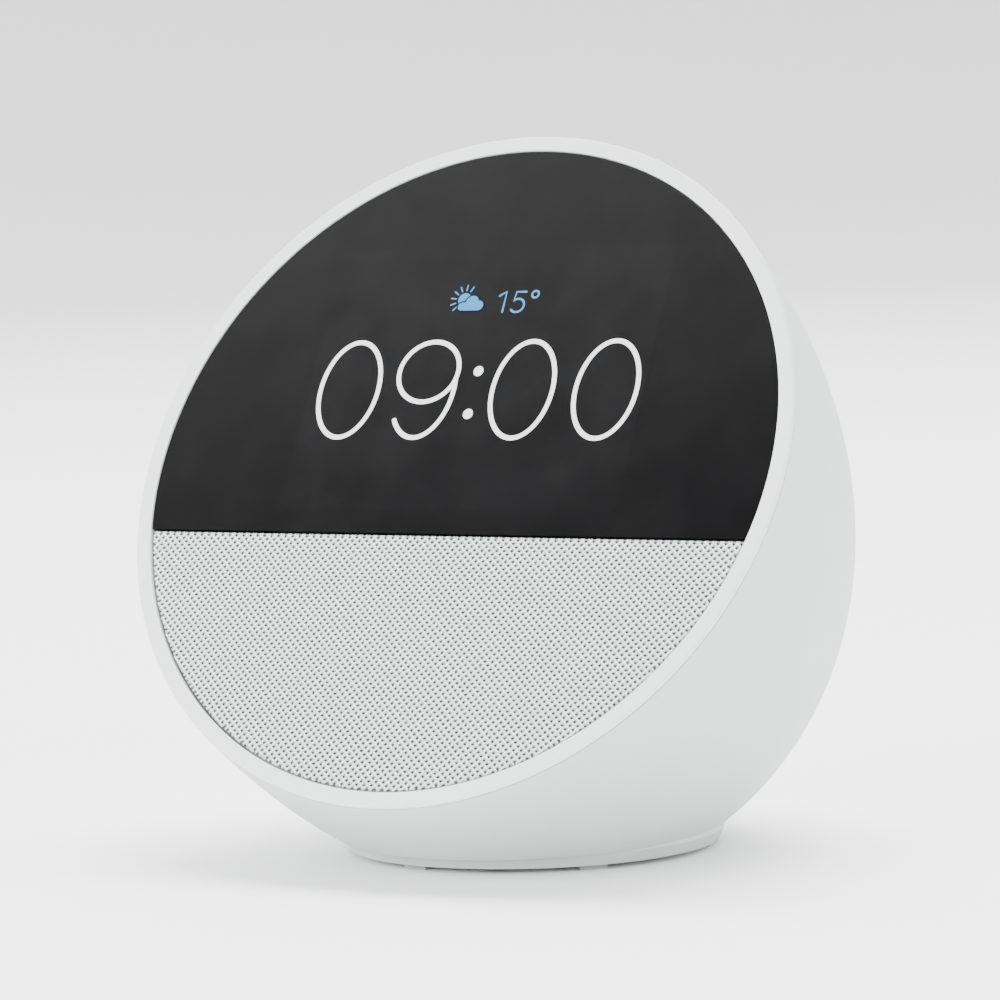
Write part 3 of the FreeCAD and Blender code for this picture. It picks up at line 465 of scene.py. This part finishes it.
def slot_finishes() -> dict[str, object]:
    """The finish of each material slot of the assembly.

    Returns:
        Slot name to finish.
    """
    rolled = {"grain": Grain.ROLLED, "stretch": (6.0, 1.0, 1.0), "grain_mm": 0.4, "relief_mm": 0.003}
    return {
        "white_shell": Solid("moulded white ABS shell", "BEC2C1", "BABEBD", 0.5),
        "white_bezel": Solid("moulded white ABS bezel", "D3D6D5", "D0D3D2", 0.42, relief_mm=0.004),
        "white_button": Solid("moulded white ABS button", "C4C8C7", "C0C4C3", 0.46, relief_mm=0.004),
        "base_plastic": Solid("moulded pale grey ABS base", "AEB2B1", "A9ADAC", 0.55, relief_mm=0.008),
        "cover_glass": CoverGlass("black printed strengthened glass", "0B0B0C"),
        "black_tape": Solid("black adhesive film", "0A0A0A", "121212", 0.6, grain_mm=0.5),
        "touch_film": Solid("dark polyester touch film", "0C0D10", "101216", 0.2, grain_mm=2.0),
        "display_panel": Solid("dark polarised display glass", "08090C", "0C0E12", 0.12, grain_mm=3.0),
        "backlight_tray": Solid("moulded white polycarbonate tray", "D9D9D4", "D2D2CC", 0.4),
        "steel": Solid("rolled zinc plated steel", "B4B6B8", "A6A8AA", 0.34, metallic=1.0, **rolled),
        "screw_steel": Solid("cold headed nickel plated steel", "A2A3A4", "8E8F90", 0.3, metallic=1.0,
                             grain_mm=0.3, relief_mm=0.004),
        "aluminium": Solid("extruded aluminium", "C6C8CA", "BABCBE", 0.38, metallic=1.0, **rolled),
        "ribbon": Solid("polyimide ribbon", "B4702A", "A8641F", 0.35, grain_mm=0.8),
        "chassis_plastic": Solid("moulded black glass filled ABS", "1C1C1E", "222225", 0.55, relief_mm=0.01),
        "grille_plastic": Solid("moulded grey ABS grille", "8A8C8D", "828485", 0.6),
        "foam": Solid("open cell polyurethane foam", "333436", "2A2B2D", 0.95, grain=Grain.FOAMED,
                      grain_mm=0.5, relief_mm=0.2),
        "basket_plastic": Solid("moulded black nylon basket", "161616", "1D1D1D", 0.5, relief_mm=0.01),
        "surround_rubber": Solid("moulded butyl rubber", "101010", "171717", 0.62),
        "cone_paper": Solid("pressed paper pulp", "222222", "2C2C2C", 0.85, grain=Grain.PRESSED,
                            grain_mm=0.7, relief_mm=0.05),
        "copper": Solid("enamelled copper wire", "B8693A", "A85C30", 0.3, metallic=1.0, grain_mm=0.25,
                        stretch=(1.0, 1.0, 8.0)),
        "spider_cloth": Solid("phenolic dipped cotton", "C29A5C", "B48C50", 0.8, grain=Grain.PRESSED,
                              grain_mm=0.5, relief_mm=0.04),
        "magnet": Solid("sintered ferrite", "2C2C2E", "363638", 0.5, grain=Grain.CAST, relief_mm=0.02),
        "board": CircuitBoard(),
        "chip": Solid("moulded epoxy chip body", "1A1A1B", "202021", 0.6, relief_mm=0.01),
        "connector": Solid("moulded black nylon socket", "19191A", "212122", 0.45),
        "lead_sleeve": Solid("extruded black PVC sleeve", "121212", "1A1A1A", 0.45),
        "foot_rubber": Solid("moulded grey silicone rubber", "8F9292", "878A8A", 0.75, relief_mm=0.01),
        "weight_iron": Solid("cast iron weight", "55565A", "4A4B4E", 0.6, grain=Grain.CAST, grain_mm=0.8,
                             relief_mm=0.05, metallic=1.0),
    }


@dataclass
class Housing:
    """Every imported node, which keeps its shape and takes the finish of its own slot."""

    finishes: dict[str, object] = field(default_factory=slot_finishes)

    def dress(self) -> None:
        """Put each slot's finish on the nodes that use it."""
        made = {slot: finish.material() for slot, finish in self.finishes.items()}
        for part in frame["record"]["subparts"]:
            material = made.get(part["material_slot"])
            if material is None:
                continue
            mesh = frame["nodes"][part["node"]].data
            mesh.materials.clear()
            mesh.materials.append(material)
            log.info("%s takes %s", part["node"], material.name)


# ---- speaker cloth ------------------------------------------------------------------------------
@dataclass
class SpeakerCloth:
    """Knitted cloth over the grille: a grey ground sheet with a net of white yarn knitted over it."""

    face: Plane
    radius_mm: float = 53.7
    top_mm: float = -12.15
    ground_depth_mm: float = 0.62
    ground_thick_mm: float = 0.12
    net_depth_mm: float = 0.42
    cell_mm: tuple[float, float] = (1.3, 1.2)
    yarn_mm: tuple[float, float] = (0.30, 0.2)
    weave_mm: float = 0.07
    yarn_sides: int = 4
    rim_steps: int = 96

    def outline(self) -> list[tuple[float, float]]:
        """The cloth's cut edge: most of a circle, closed by a straight top.

        Returns:
            Points round the edge in millimetres on the face.
        """
        half = math.acos(self.top_mm / self.radius_mm)
        start, end = math.pi / 2 + half, math.pi / 2 + 2 * math.pi - half
        turns = [start + (end - start) * i / self.rim_steps for i in range(self.rim_steps + 1)]
        return [(self.radius_mm * math.cos(t), self.radius_mm * math.sin(t)) for t in turns]

    def ground(self) -> bpy.types.Object:
        """Make the ground sheet: a filled outline, given its thickness and a rolled rim.

        Returns:
            The sheet.
        """
        deselect()
        bpy.ops.mesh.primitive_circle_add(vertices=self.rim_steps + 1, radius=1.0, fill_type="NGON")
        sheet = bpy.context.object
        for vertex, (x, y) in zip(sheet.data.vertices, self.outline()):
            vertex.co = (x * MM, y * MM, 0.0)
        bpy.ops.object.mode_set(mode="EDIT")
        bpy.ops.mesh.select_all(action="SELECT")
        bpy.ops.mesh.inset(thickness=0.25 * MM, depth=0.0)
        bpy.ops.transform.translate(value=(0, 0, 0.06 * MM))
        bpy.ops.mesh.select_all(action="SELECT")
        bpy.ops.mesh.quads_convert_to_tris()
        bpy.ops.object.mode_set(mode="OBJECT")
        solid = sheet.modifiers.new("thickness", "SOLIDIFY")
        solid.thickness = self.ground_thick_mm * MM
        solid.offset = -1.0
        bpy.ops.object.modifier_apply(modifier=solid.name)
        flat = sheet.data.uv_layers.new(name="face_mm")
        for loop in sheet.data.loops:
            spot = sheet.data.vertices[loop.vertex_index].co
            flat.data[loop.index].uv = (spot.x / MM, spot.y / MM)
        return sheet

    def inside(self, start: np.ndarray, step: np.ndarray) -> Optional[tuple[float, float]]:
        """Where a straight yarn line runs over the cloth.

        Args:
            start: A point of the line, in millimetres.
            step: The line's direction.

        Returns:
            The line's first and last parameter, or None if it misses.
        """
        radius = self.radius_mm - self.yarn_mm[0] / 2
        a, b, c = step @ step, 2 * start @ step, start @ start - radius ** 2
        root = b * b - 4 * a * c
        if root <= 0:
            return None
        low, high = (-b - math.sqrt(root)) / (2 * a), (-b + math.sqrt(root)) / (2 * a)
        top = (self.top_mm - self.yarn_mm[0] / 2 - start[1]) / step[1]
        low, high = (max(low, top), high) if step[1] < 0 else (low, min(high, top))
        return (low, high) if high - low > 0.6 else None

    def yarns(self) -> Iterable[np.ndarray]:
        """Every yarn of the net as a line of points over and under the ones it crosses.

        Yields:
            Points in millimetres on the face, with the height over the net's middle last.
        """
        wide, tall = self.cell_mm
        count = int(self.radius_mm * (1 / wide + 1 / tall)) + 1
        for lean in (1.0, -1.0):
            step = np.array([wide / 2, -lean * tall / 2])
            for line in range(-count, count + 1):
                start = np.array([line * wide, 0.0])
                span = self.inside(start, step)
                if span is None:
                    continue
                first, last = math.ceil(2 * span[0] + 0.1), math.floor(2 * span[1] - 0.1)
                turns = np.array([span[0], *[i / 2 for i in range(first, last + 1)], span[1]])
                flat = start + turns[:, None] * step
                rise = lean * self.weave_mm * np.cos(math.pi * (turns + line))
                yield np.column_stack([flat, rise])

    def net(self) -> bpy.types.Object:
        """Make the net: every yarn a closed tube, flattened as knitted yarn is.

        Returns:
            The net.
        """
        points, faces = [], []
        half_wide, half_thick = self.yarn_mm[0] / 2, self.yarn_mm[1] / 2
        sides = self.yarn_sides
        angles = [2 * math.pi * (i + 0.5) / sides for i in range(sides)]
        spread = 1 / math.cos(math.pi / sides)
        for line in self.yarns():
            along = np.gradient(line[:, :2], axis=0)
            along /= np.linalg.norm(along, axis=1)[:, None]
            across = np.column_stack([-along[:, 1], along[:, 0], np.zeros(len(line))])
            base = len(points)
            for angle in angles:
                ring = line + across * (half_wide * spread * math.cos(angle))
                ring[:, 2] += half_thick * spread * math.sin(angle)
                points.extend(ring * MM)
            count = len(line)
            for side in range(sides):
                here, there = base + side * count, base + (side + 1) % sides * count
                faces += [(here + i, here + i + 1, there + i + 1, there + i) for i in range(count - 1)]
            ends = [base + side * count for side in range(sides)]
            faces.append(tuple(ends))
            faces.append(tuple(end + count - 1 for end in reversed(ends)))
        mesh = bpy.data.meshes.new("speaker_net")
        mesh.from_pydata([tuple(p) for p in points], [], faces)
        obj = bpy.data.objects.new("speaker_net", mesh)
        bpy.context.scene.collection.objects.link(obj)
        select_only(obj)
        bpy.ops.object.mode_set(mode="EDIT")
        bpy.ops.mesh.select_all(action="SELECT")
        bpy.ops.mesh.normals_make_consistent(inside=False)
        bpy.ops.object.mode_set(mode="OBJECT")
        bpy.ops.object.shade_smooth()
        return obj

    def build(self) -> None:
        net = finish_piece(self.net(), "speaker_net", self.face.matrix(out=-self.net_depth_mm * MM),
                           WhiteYarn().material(), "housing")
        ground = finish_piece(self.ground(), "speaker_cloth", self.face.matrix(out=-self.ground_depth_mm * MM),
                              KnitGround(self.cell_mm).material(), "housing")
        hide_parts("speaker_fabric")


# ---- clock picture ------------------------------------------------------------------------------
Path = Sequence[tuple[float, float]]


def ellipse(middle: tuple[float, float], half: tuple[float, float], start: float = 0.0,
            end: float = 360.0, steps: int = 64) -> Path:
    """Points along an ellipse.

    Args:
        middle: Its centre.
        half: Its half width and half height.
        start: First angle in degrees.
        end: Last angle in degrees.
        steps: How many spans.

    Returns:
        The points, without the last one where the ellipse is whole.
    """
    whole = abs(end - start) >= 360
    angles = [math.radians(start + (end - start) * i / steps) for i in range(steps + (not whole))]
    return [(middle[0] + half[0] * math.cos(a), middle[1] + half[1] * math.sin(a)) for a in angles]


@dataclass
class ClockPicture:
    """The lit picture: the hour in thin round strokes, a small sun behind a cloud, and the warmth outside."""

    face: Plane
    layer_mm: float = -0.17
    sheet_mm: float = 0.01
    stroke_mm: float = 0.8
    small_stroke_mm: float = 0.36
    digit_half: tuple[float, float] = (5.3, 8.2)
    digit_row: float = 12.4
    zero_places: tuple[float, float, float] = (-22.5, 8.7, 23.3)
    nine_place: float = -8.8
    nine_bowl: float = 5.15
    colon_place: float = 0.1
    colon_gap: float = 3.65
    colon_radius: float = 0.86
    picture_half: tuple[float, float] = (30.0, 22.5)
    picture_row: float = 14.5
    cloud_puffs: tuple = ((-1.5, -0.4, 0.7), (-0.75, -0.4, 0.75), (0.0, -0.4, 0.8), (0.75, -0.4, 0.8),
                          (1.45, -0.25, 0.85), (0.2, 0.3, 1.15))
    cloud_place: tuple[float, float] = (-4.3, 27.1)
    sun_place: tuple[float, float] = (-5.6, 27.9)
    sun_radius: float = 1.15
    ray_span: tuple[float, float] = (1.6, 2.45)
    ray_angles: tuple = (62, 90, 118, 146, 174, 202, 228)

    def tube(self, points: Path, closed: bool, width: float) -> bpy.types.Object:
        """Draw one round-ended stroke, pressed flat.

        Args:
            points: Its middle line in millimetres.
            closed: Whether the line joins up.
            width: Its width in millimetres.

        Returns:
            The stroke.
        """
        deselect()
        curve = bpy.data.curves.new("stroke", "CURVE")
        curve.dimensions = "3D"
        curve.bevel_depth = width / 2 * MM
        curve.bevel_resolution = 2
        curve.use_fill_caps = True
        spline = curve.splines.new("POLY")
        spline.points.add(len(points) - 1)
        for spot, (x, y) in zip(spline.points, points):
            spot.co = (x * MM, y * MM, 0.0, 1.0)
        spline.use_cyclic_u = closed
        stroke = bpy.data.objects.new("stroke", curve)
        bpy.context.scene.collection.objects.link(stroke)
        select_only(stroke)
        bpy.ops.object.convert(target="MESH")
        ends = [] if closed else [self.disc(points[0], width / 2), self.disc(points[-1], width / 2)]
        stroke = bpy.data.objects[stroke.name]
        flatten = Matrix.Diagonal((1, 1, self.sheet_mm / width, 1))
        stroke.data.transform(flatten)
        return join([stroke, *ends])

    def disc(self, middle: tuple[float, float], radius: float,
             reach: Optional[Callable[[float], float]] = None) -> bpy.types.Object:
        """Make a thin disc, or another shape around a middle.

        Args:
            middle: Its centre in millimetres.
            radius: Its radius in millimetres.
            reach: The outline's distance from the middle at an angle, where it isn't round.

        Returns:
            The disc.
        """
        deselect()
        bpy.ops.mesh.primitive_circle_add(vertices=72, radius=radius * MM, fill_type="NGON")
        plate = bpy.context.object
        if reach:
            for vertex in plate.data.vertices:
                angle = math.atan2(vertex.co.y, vertex.co.x)
                vertex.co = Vector((math.cos(angle), math.sin(angle), 0)) * reach(angle) * MM
        plate.data.transform(Matrix.Translation((middle[0] * MM, middle[1] * MM, -self.sheet_mm * MM / 2)))
        bpy.ops.object.mode_set(mode="EDIT")
        bpy.ops.mesh.select_all(action="SELECT")
        bpy.ops.mesh.extrude_region_move(TRANSFORM_OT_translate={"value": (0, 0, self.sheet_mm * MM)})
        bpy.ops.mesh.select_all(action="SELECT")
        bpy.ops.mesh.normals_make_consistent(inside=False)
        bpy.ops.object.mode_set(mode="OBJECT")
        return plate

    def hour(self) -> bpy.types.Object:
        """Draw the hour.

        Returns:
            All its strokes and dots as one piece.
        """
        zero = self.digit_half
        parts = [self.tube(ellipse((place, self.digit_row), zero), True, self.stroke_mm)
                 for place in self.zero_places]
        bowl = (self.nine_place, self.digit_row + zero[1] - self.nine_bowl)
        parts.append(self.tube(ellipse(bowl, (zero[0], self.nine_bowl)), True, self.stroke_mm))
        middle = (self.nine_place, self.digit_row)
        parts.append(self.tube(ellipse(middle, zero, 14, -140), False, self.stroke_mm))
        for side in (-1, 1):
            parts.append(self.disc((self.colon_place, self.digit_row - 0.5 + side * self.colon_gap),
                                   self.colon_radius))
        return join(parts)

    def warmth(self) -> bpy.types.Object:
        """Draw the number of degrees.

        Returns:
            Its strokes as one piece.
        """
        one = [(0.6, 28.5), (1.7, 29.2), (1.7, 25.7)]
        five = [(5.2, 29.15), (3.5, 29.15), (3.3, 27.6)]
        five += ellipse((4.1, 26.8), (1.2, 1.15), 125, -140, 24)
        ring = ellipse((6.9, 28.7), (0.58, 0.58), steps=24)
        return join([self.tube(one, False, self.small_stroke_mm), self.tube(five, False, self.small_stroke_mm),
                     self.tube(ring, True, self.small_stroke_mm)])

    def cloud_reach(self, grow: float) -> Callable[[float], float]:
        """The outline of the cloud, which is a row of round puffs.

        Args:
            grow: How much wider than the cloud, in millimetres.

        Returns:
            A function from an angle to the outline's distance from the cloud's middle.
        """
        def reach(angle: float) -> float:
            """Distance to the furthest puff's edge in one direction."""
            far = 0.4
            for x, y, radius in self.cloud_puffs:
                radius += grow
                along = x * math.cos(angle) + y * math.sin(angle)
                aside = abs(-x * math.sin(angle) + y * math.cos(angle))
                if aside < radius:
                    far = max(far, along + math.sqrt(radius ** 2 - aside ** 2))
            floor = 1.1 + grow
            down = -math.sin(angle)
            return min(far, floor / down) if down > 0.2 else far
        return reach

    def sun(self) -> bpy.types.Object:
        """Draw the sun and its rays.

        Returns:
            One piece.
        """
        parts = [self.disc(self.sun_place, self.sun_radius)]
        for angle in self.ray_angles:
            way = (math.cos(math.radians(angle)), math.sin(math.radians(angle)))
            ray = [(self.sun_place[0] + way[0] * r, self.sun_place[1] + way[1] * r) for r in self.ray_span]
            parts.append(self.tube(ray, False, 0.24))
        return join(parts)

    def window(self) -> bpy.types.Object:
        """Make the picture's own window: a thin plate with small round corners.

        Returns:
            The plate.
        """
        deselect()
        bpy.ops.mesh.primitive_plane_add(size=2.0)
        plate = bpy.context.object
        wide, tall = self.picture_half
        plate.data.transform(Matrix.Diagonal((wide * MM, tall * MM, 1, 1)))
        bpy.ops.object.mode_set(mode="EDIT")
        bpy.ops.mesh.select_all(action="SELECT")
        bpy.ops.mesh.bevel(offset=1.0 * MM, segments=6, affect="VERTICES")
        bpy.ops.mesh.select_all(action="SELECT")
        bpy.ops.mesh.extrude_region_move(TRANSFORM_OT_translate={"value": (0, 0, self.sheet_mm * MM)})
        bpy.ops.mesh.select_all(action="SELECT")
        bpy.ops.mesh.normals_make_consistent(inside=False)
        bpy.ops.object.mode_set(mode="OBJECT")
        return plate

    def build(self) -> None:
        """Make and dress the picture, layer over layer, a hair in front of the glass."""
        blue = PictureLight("sky blue picture light", "3FB2F5", 1.5).material()
        white = PictureLight("white picture light", "F2F2F2", 3.2).material()
        black = CoverGlass("dark picture edge", "0B0B0C").material()
        # Painted glow: the window plate's grey, a shade lighter than the black glass, is the panel's backlight
        # glow painted into its colour.
        grey = CoverGlass("picture area with painted backlight glow", "0F0F10").material()
        layers = (
            ("picture_window", self.window, (0.0, self.picture_row), grey, "cover_glass"),
            ("picture_hour", self.hour, (0.0, 0.0), white, "display_panel"),
            ("picture_degrees", self.warmth, (0.0, 0.0), blue, "display_panel"),
            ("picture_sun", self.sun, (0.0, 0.0), blue, "display_panel"),
            ("picture_cloud_edge", lambda: self.disc((0, 0), 1.0, self.cloud_reach(0.24)), self.cloud_place,
             black, "cover_glass"),
            ("picture_cloud", lambda: self.disc((0, 0), 1.0, self.cloud_reach(0.0)), self.cloud_place,
             blue, "display_panel"),
        )
        for number, (name, make, (u, v), material, slot) in enumerate(layers):
            height = (self.layer_mm + number * 1.4 * self.sheet_mm) * MM
            finish_piece(make(), name, self.face.matrix(u * MM, v * MM, height), material, "housing")


# ---- button marks -------------------------------------------------------------------------------
@dataclass
class ButtonMarks:
    """Shallow raised signs on the three caps: less, sound off, more."""

    out: Vector
    bar_mm: tuple[float, float] = (2.6, 0.45)
    rise_mm: float = 0.1
    ring_mm: float = 1.15

    def bar(self, turn: float) -> bpy.types.Object:
        """Model a bar with softened edges.

        Args:
            turn: How far it is turned about its middle, in degrees.

        Returns:
            The bar.
        """
        deselect()
        bpy.ops.mesh.primitive_cube_add(size=1.0)
        bar = bpy.context.object
        bar.data.transform(Matrix.Diagonal((self.bar_mm[0] * MM, self.bar_mm[1] * MM, self.rise_mm * MM, 1)))
        pick_vertices(bar, lambda spot: True)
        bpy.ops.mesh.bevel(offset=0.04 * MM, segments=2, affect="EDGES")
        bpy.ops.object.mode_set(mode="OBJECT")
        bar.data.transform(Matrix.Rotation(math.radians(turn), 4, "Z"))
        return bar

    def ring(self) -> list[bpy.types.Object]:
        """Model a thin ring and the stroke across it.

        Returns:
            Both parts.
        """
        deselect()
        bpy.ops.mesh.primitive_torus_add(major_radius=self.ring_mm * MM, minor_radius=self.bar_mm[1] / 2 * MM,
                                         major_segments=48, minor_segments=10)
        torus = bpy.context.object
        torus.data.transform(Matrix.Diagonal((1, 1, self.rise_mm / self.bar_mm[1], 1)))
        bpy.ops.object.shade_smooth()
        return [torus, self.bar(45.0)]

    def build(self) -> None:
        """Make the marks and set each on the top of its cap."""
        paint = Solid("grey pad printed mark", "8D9091", "868989", 0.5, relief_mm=0.003).material()
        marks = (("volume_down", "volume_down_key", lambda: [self.bar(0.0)]),
                 ("mute", "mute_key", self.ring),
                 ("volume_up", "volume_up_key", lambda: [self.bar(0.0), self.bar(90.0)]))
        for name, body, make in marks:
            top = front_plane(f"{name}_button", self.out)
            place = top.matrix(out=-0.3 * self.rise_mm * MM)
            finish_piece(join(make()), f"{name}_mark", place, paint, body)


# ---- room ---------------------------------------------------------------------------------------
@dataclass
class Studio:
    """A pale sweep of floor, soft light all round, and the camera."""

    target: tuple[float, float, float] = (0.0, -0.00734, 0.055)
    azimuth: float = 30.65
    elevation: float = 4.23
    roll: float = -1.78
    distance: float = 0.7045
    lens: float = 163.7
    floor_radius: float = 3.0
    sweep: float = 1.4
    sweep_steps: int = 12

    def floor(self) -> None:
        """Lay the floor: a wide disc whose rim sweeps up into a low wall all round."""
        deselect()
        bpy.ops.mesh.primitive_circle_add(vertices=96, radius=self.floor_radius, fill_type="NGON")
        floor = bpy.context.object
        floor.name = "studio_floor"
        bpy.ops.object.mode_set(mode="EDIT")
        for step in range(1, self.sweep_steps + 1):
            turn = math.pi / 2 * step / self.sweep_steps
            before = math.pi / 2 * (step - 1) / self.sweep_steps
            ring = [self.floor_radius + self.sweep * math.sin(a) for a in (before, turn)]
            rise = self.sweep * (math.cos(before) - math.cos(turn))
            pick_vertices(floor, lambda spot: abs(math.hypot(spot.x, spot.y) - ring[0]) < MM)
            bpy.ops.mesh.select_mode(type="EDGE")
            bpy.ops.mesh.extrude_edges_move(TRANSFORM_OT_translate={"value": (0, 0, rise)})
            scale = ring[1] / ring[0]
            bpy.ops.transform.resize(value=(scale, scale, 1.0), center_override=(0, 0, 0))
        bpy.ops.object.mode_set(mode="OBJECT")
        bpy.ops.object.shade_smooth()
        paper = Solid("matt white studio paper", "FBFBFB", "F9F9F9", 0.9, grain=Grain.PRESSED, grain_mm=2.0,
                      relief_mm=0.01, drift_mm=400.0).material()
        floor.data.materials.append(paper)

    def world(self) -> None:
        """Light the room: bright above and behind, dimmer in front, where the glass mirrors it."""
        world = bpy.data.worlds.new("studio")
        bpy.context.scene.world = world
        world.use_nodes = True
        tree = world.node_tree
        tree.nodes.clear()
        way = add_node(tree, "ShaderNodeTexCoord").outputs["Generated"]
        lifts = []
        steps = (((-0.5, 0.2, 0.84), 0.70, 0.83, 1.3), ((0.0, 0.75, 0.66), 0.25, 0.75, 3.4))
        for axis, low, high, lift in steps:
            along = add_node(tree, "ShaderNodeVectorMath", {"operation": "DOT_PRODUCT"}, {0: way, 1: axis})
            step = add_node(tree, "ShaderNodeMapRange", {"interpolation_type": "SMOOTHSTEP"}, {
                "Value": along.outputs["Value"], "From Min": low, "From Max": high, "To Max": lift})
            lifts.append(step.outputs[0])
        total = add_node(tree, "ShaderNodeMath", {"operation": "ADD"}, {0: lifts[0], 1: lifts[1]})
        strength = add_node(tree, "ShaderNodeMath", {"operation": "ADD"}, {0: total.outputs[0], 1: 0.15})
        light = add_node(tree, "ShaderNodeBackground", inputs={
            "Color": (1.0, 1.0, 1.0, 1.0), "Strength": strength.outputs[0]})
        add_node(tree, "ShaderNodeOutputWorld", inputs={"Surface": light.outputs[0]})

    def softbox(self, name: str, place: tuple[float, float, float], size: float, power: float) -> None:
        """Hang a square softbox that faces the object.

        Args:
            name: The light's name.
            place: Where it hangs, in metres.
            size: Its side, in metres.
            power: Its power, in watts.
        """
        lamp = bpy.data.lights.new(name, "AREA")
        lamp.size = size
        lamp.energy = power
        light = bpy.data.objects.new(name, lamp)
        light.location = place
        light.rotation_euler = (Vector(self.target) - Vector(place)).to_track_quat("-Z", "Y").to_euler()
        bpy.context.scene.collection.objects.link(light)

    def camera(self) -> None:
        """Set the camera at the object's three-quarter view."""
        turn, rise, tilt = (math.radians(a) for a in (self.azimuth, self.elevation, self.roll))
        back = Vector((math.sin(turn) * math.cos(rise), -math.cos(turn) * math.cos(rise), math.sin(rise)))
        level = Vector((math.cos(turn), math.sin(turn), 0))
        upright = back.cross(level)
        right = level * math.cos(tilt) + upright * math.sin(tilt)
        up = upright * math.cos(tilt) - level * math.sin(tilt)
        data = bpy.data.cameras.new("three_quarter_view")
        data.lens = self.lens
        data.clip_start = 0.01
        camera = bpy.data.objects.new("three_quarter_view", data)
        place = Matrix.Translation(Vector(self.target) + back * self.distance)
        camera.matrix_world = place @ Matrix((right, up, back)).transposed().to_4x4()
        bpy.context.scene.collection.objects.link(camera)
        bpy.context.scene.camera = camera

    def build(self) -> None:
        """Make the whole room."""
        self.floor()
        self.world()
        self.softbox("key", (-0.9, -1.5, 0.6), 1.0, 58.0)
        self.softbox("fill", (1.6, -0.9, 0.7), 1.0, 24.0)
        self.softbox("top", (0.1, 0.5, 2.0), 1.6, 95.0)
        self.camera()


def main() -> None:
    """Dress the assembly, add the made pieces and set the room."""
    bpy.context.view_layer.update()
    face = front_plane("front_bezel", joint_axis("diaphragm_travel"))
    log.info("face centre %s", tuple(round(c, 5) for c in face.origin))
    Housing().dress()
    SpeakerCloth(face).build()
    ClockPicture(face).build()
    ButtonMarks(joint_axis("mute_press")).build()
    Studio().build()
    deselect()


if __name__ == "__main__":
    logging.basicConfig(level=logging.INFO)
    main()
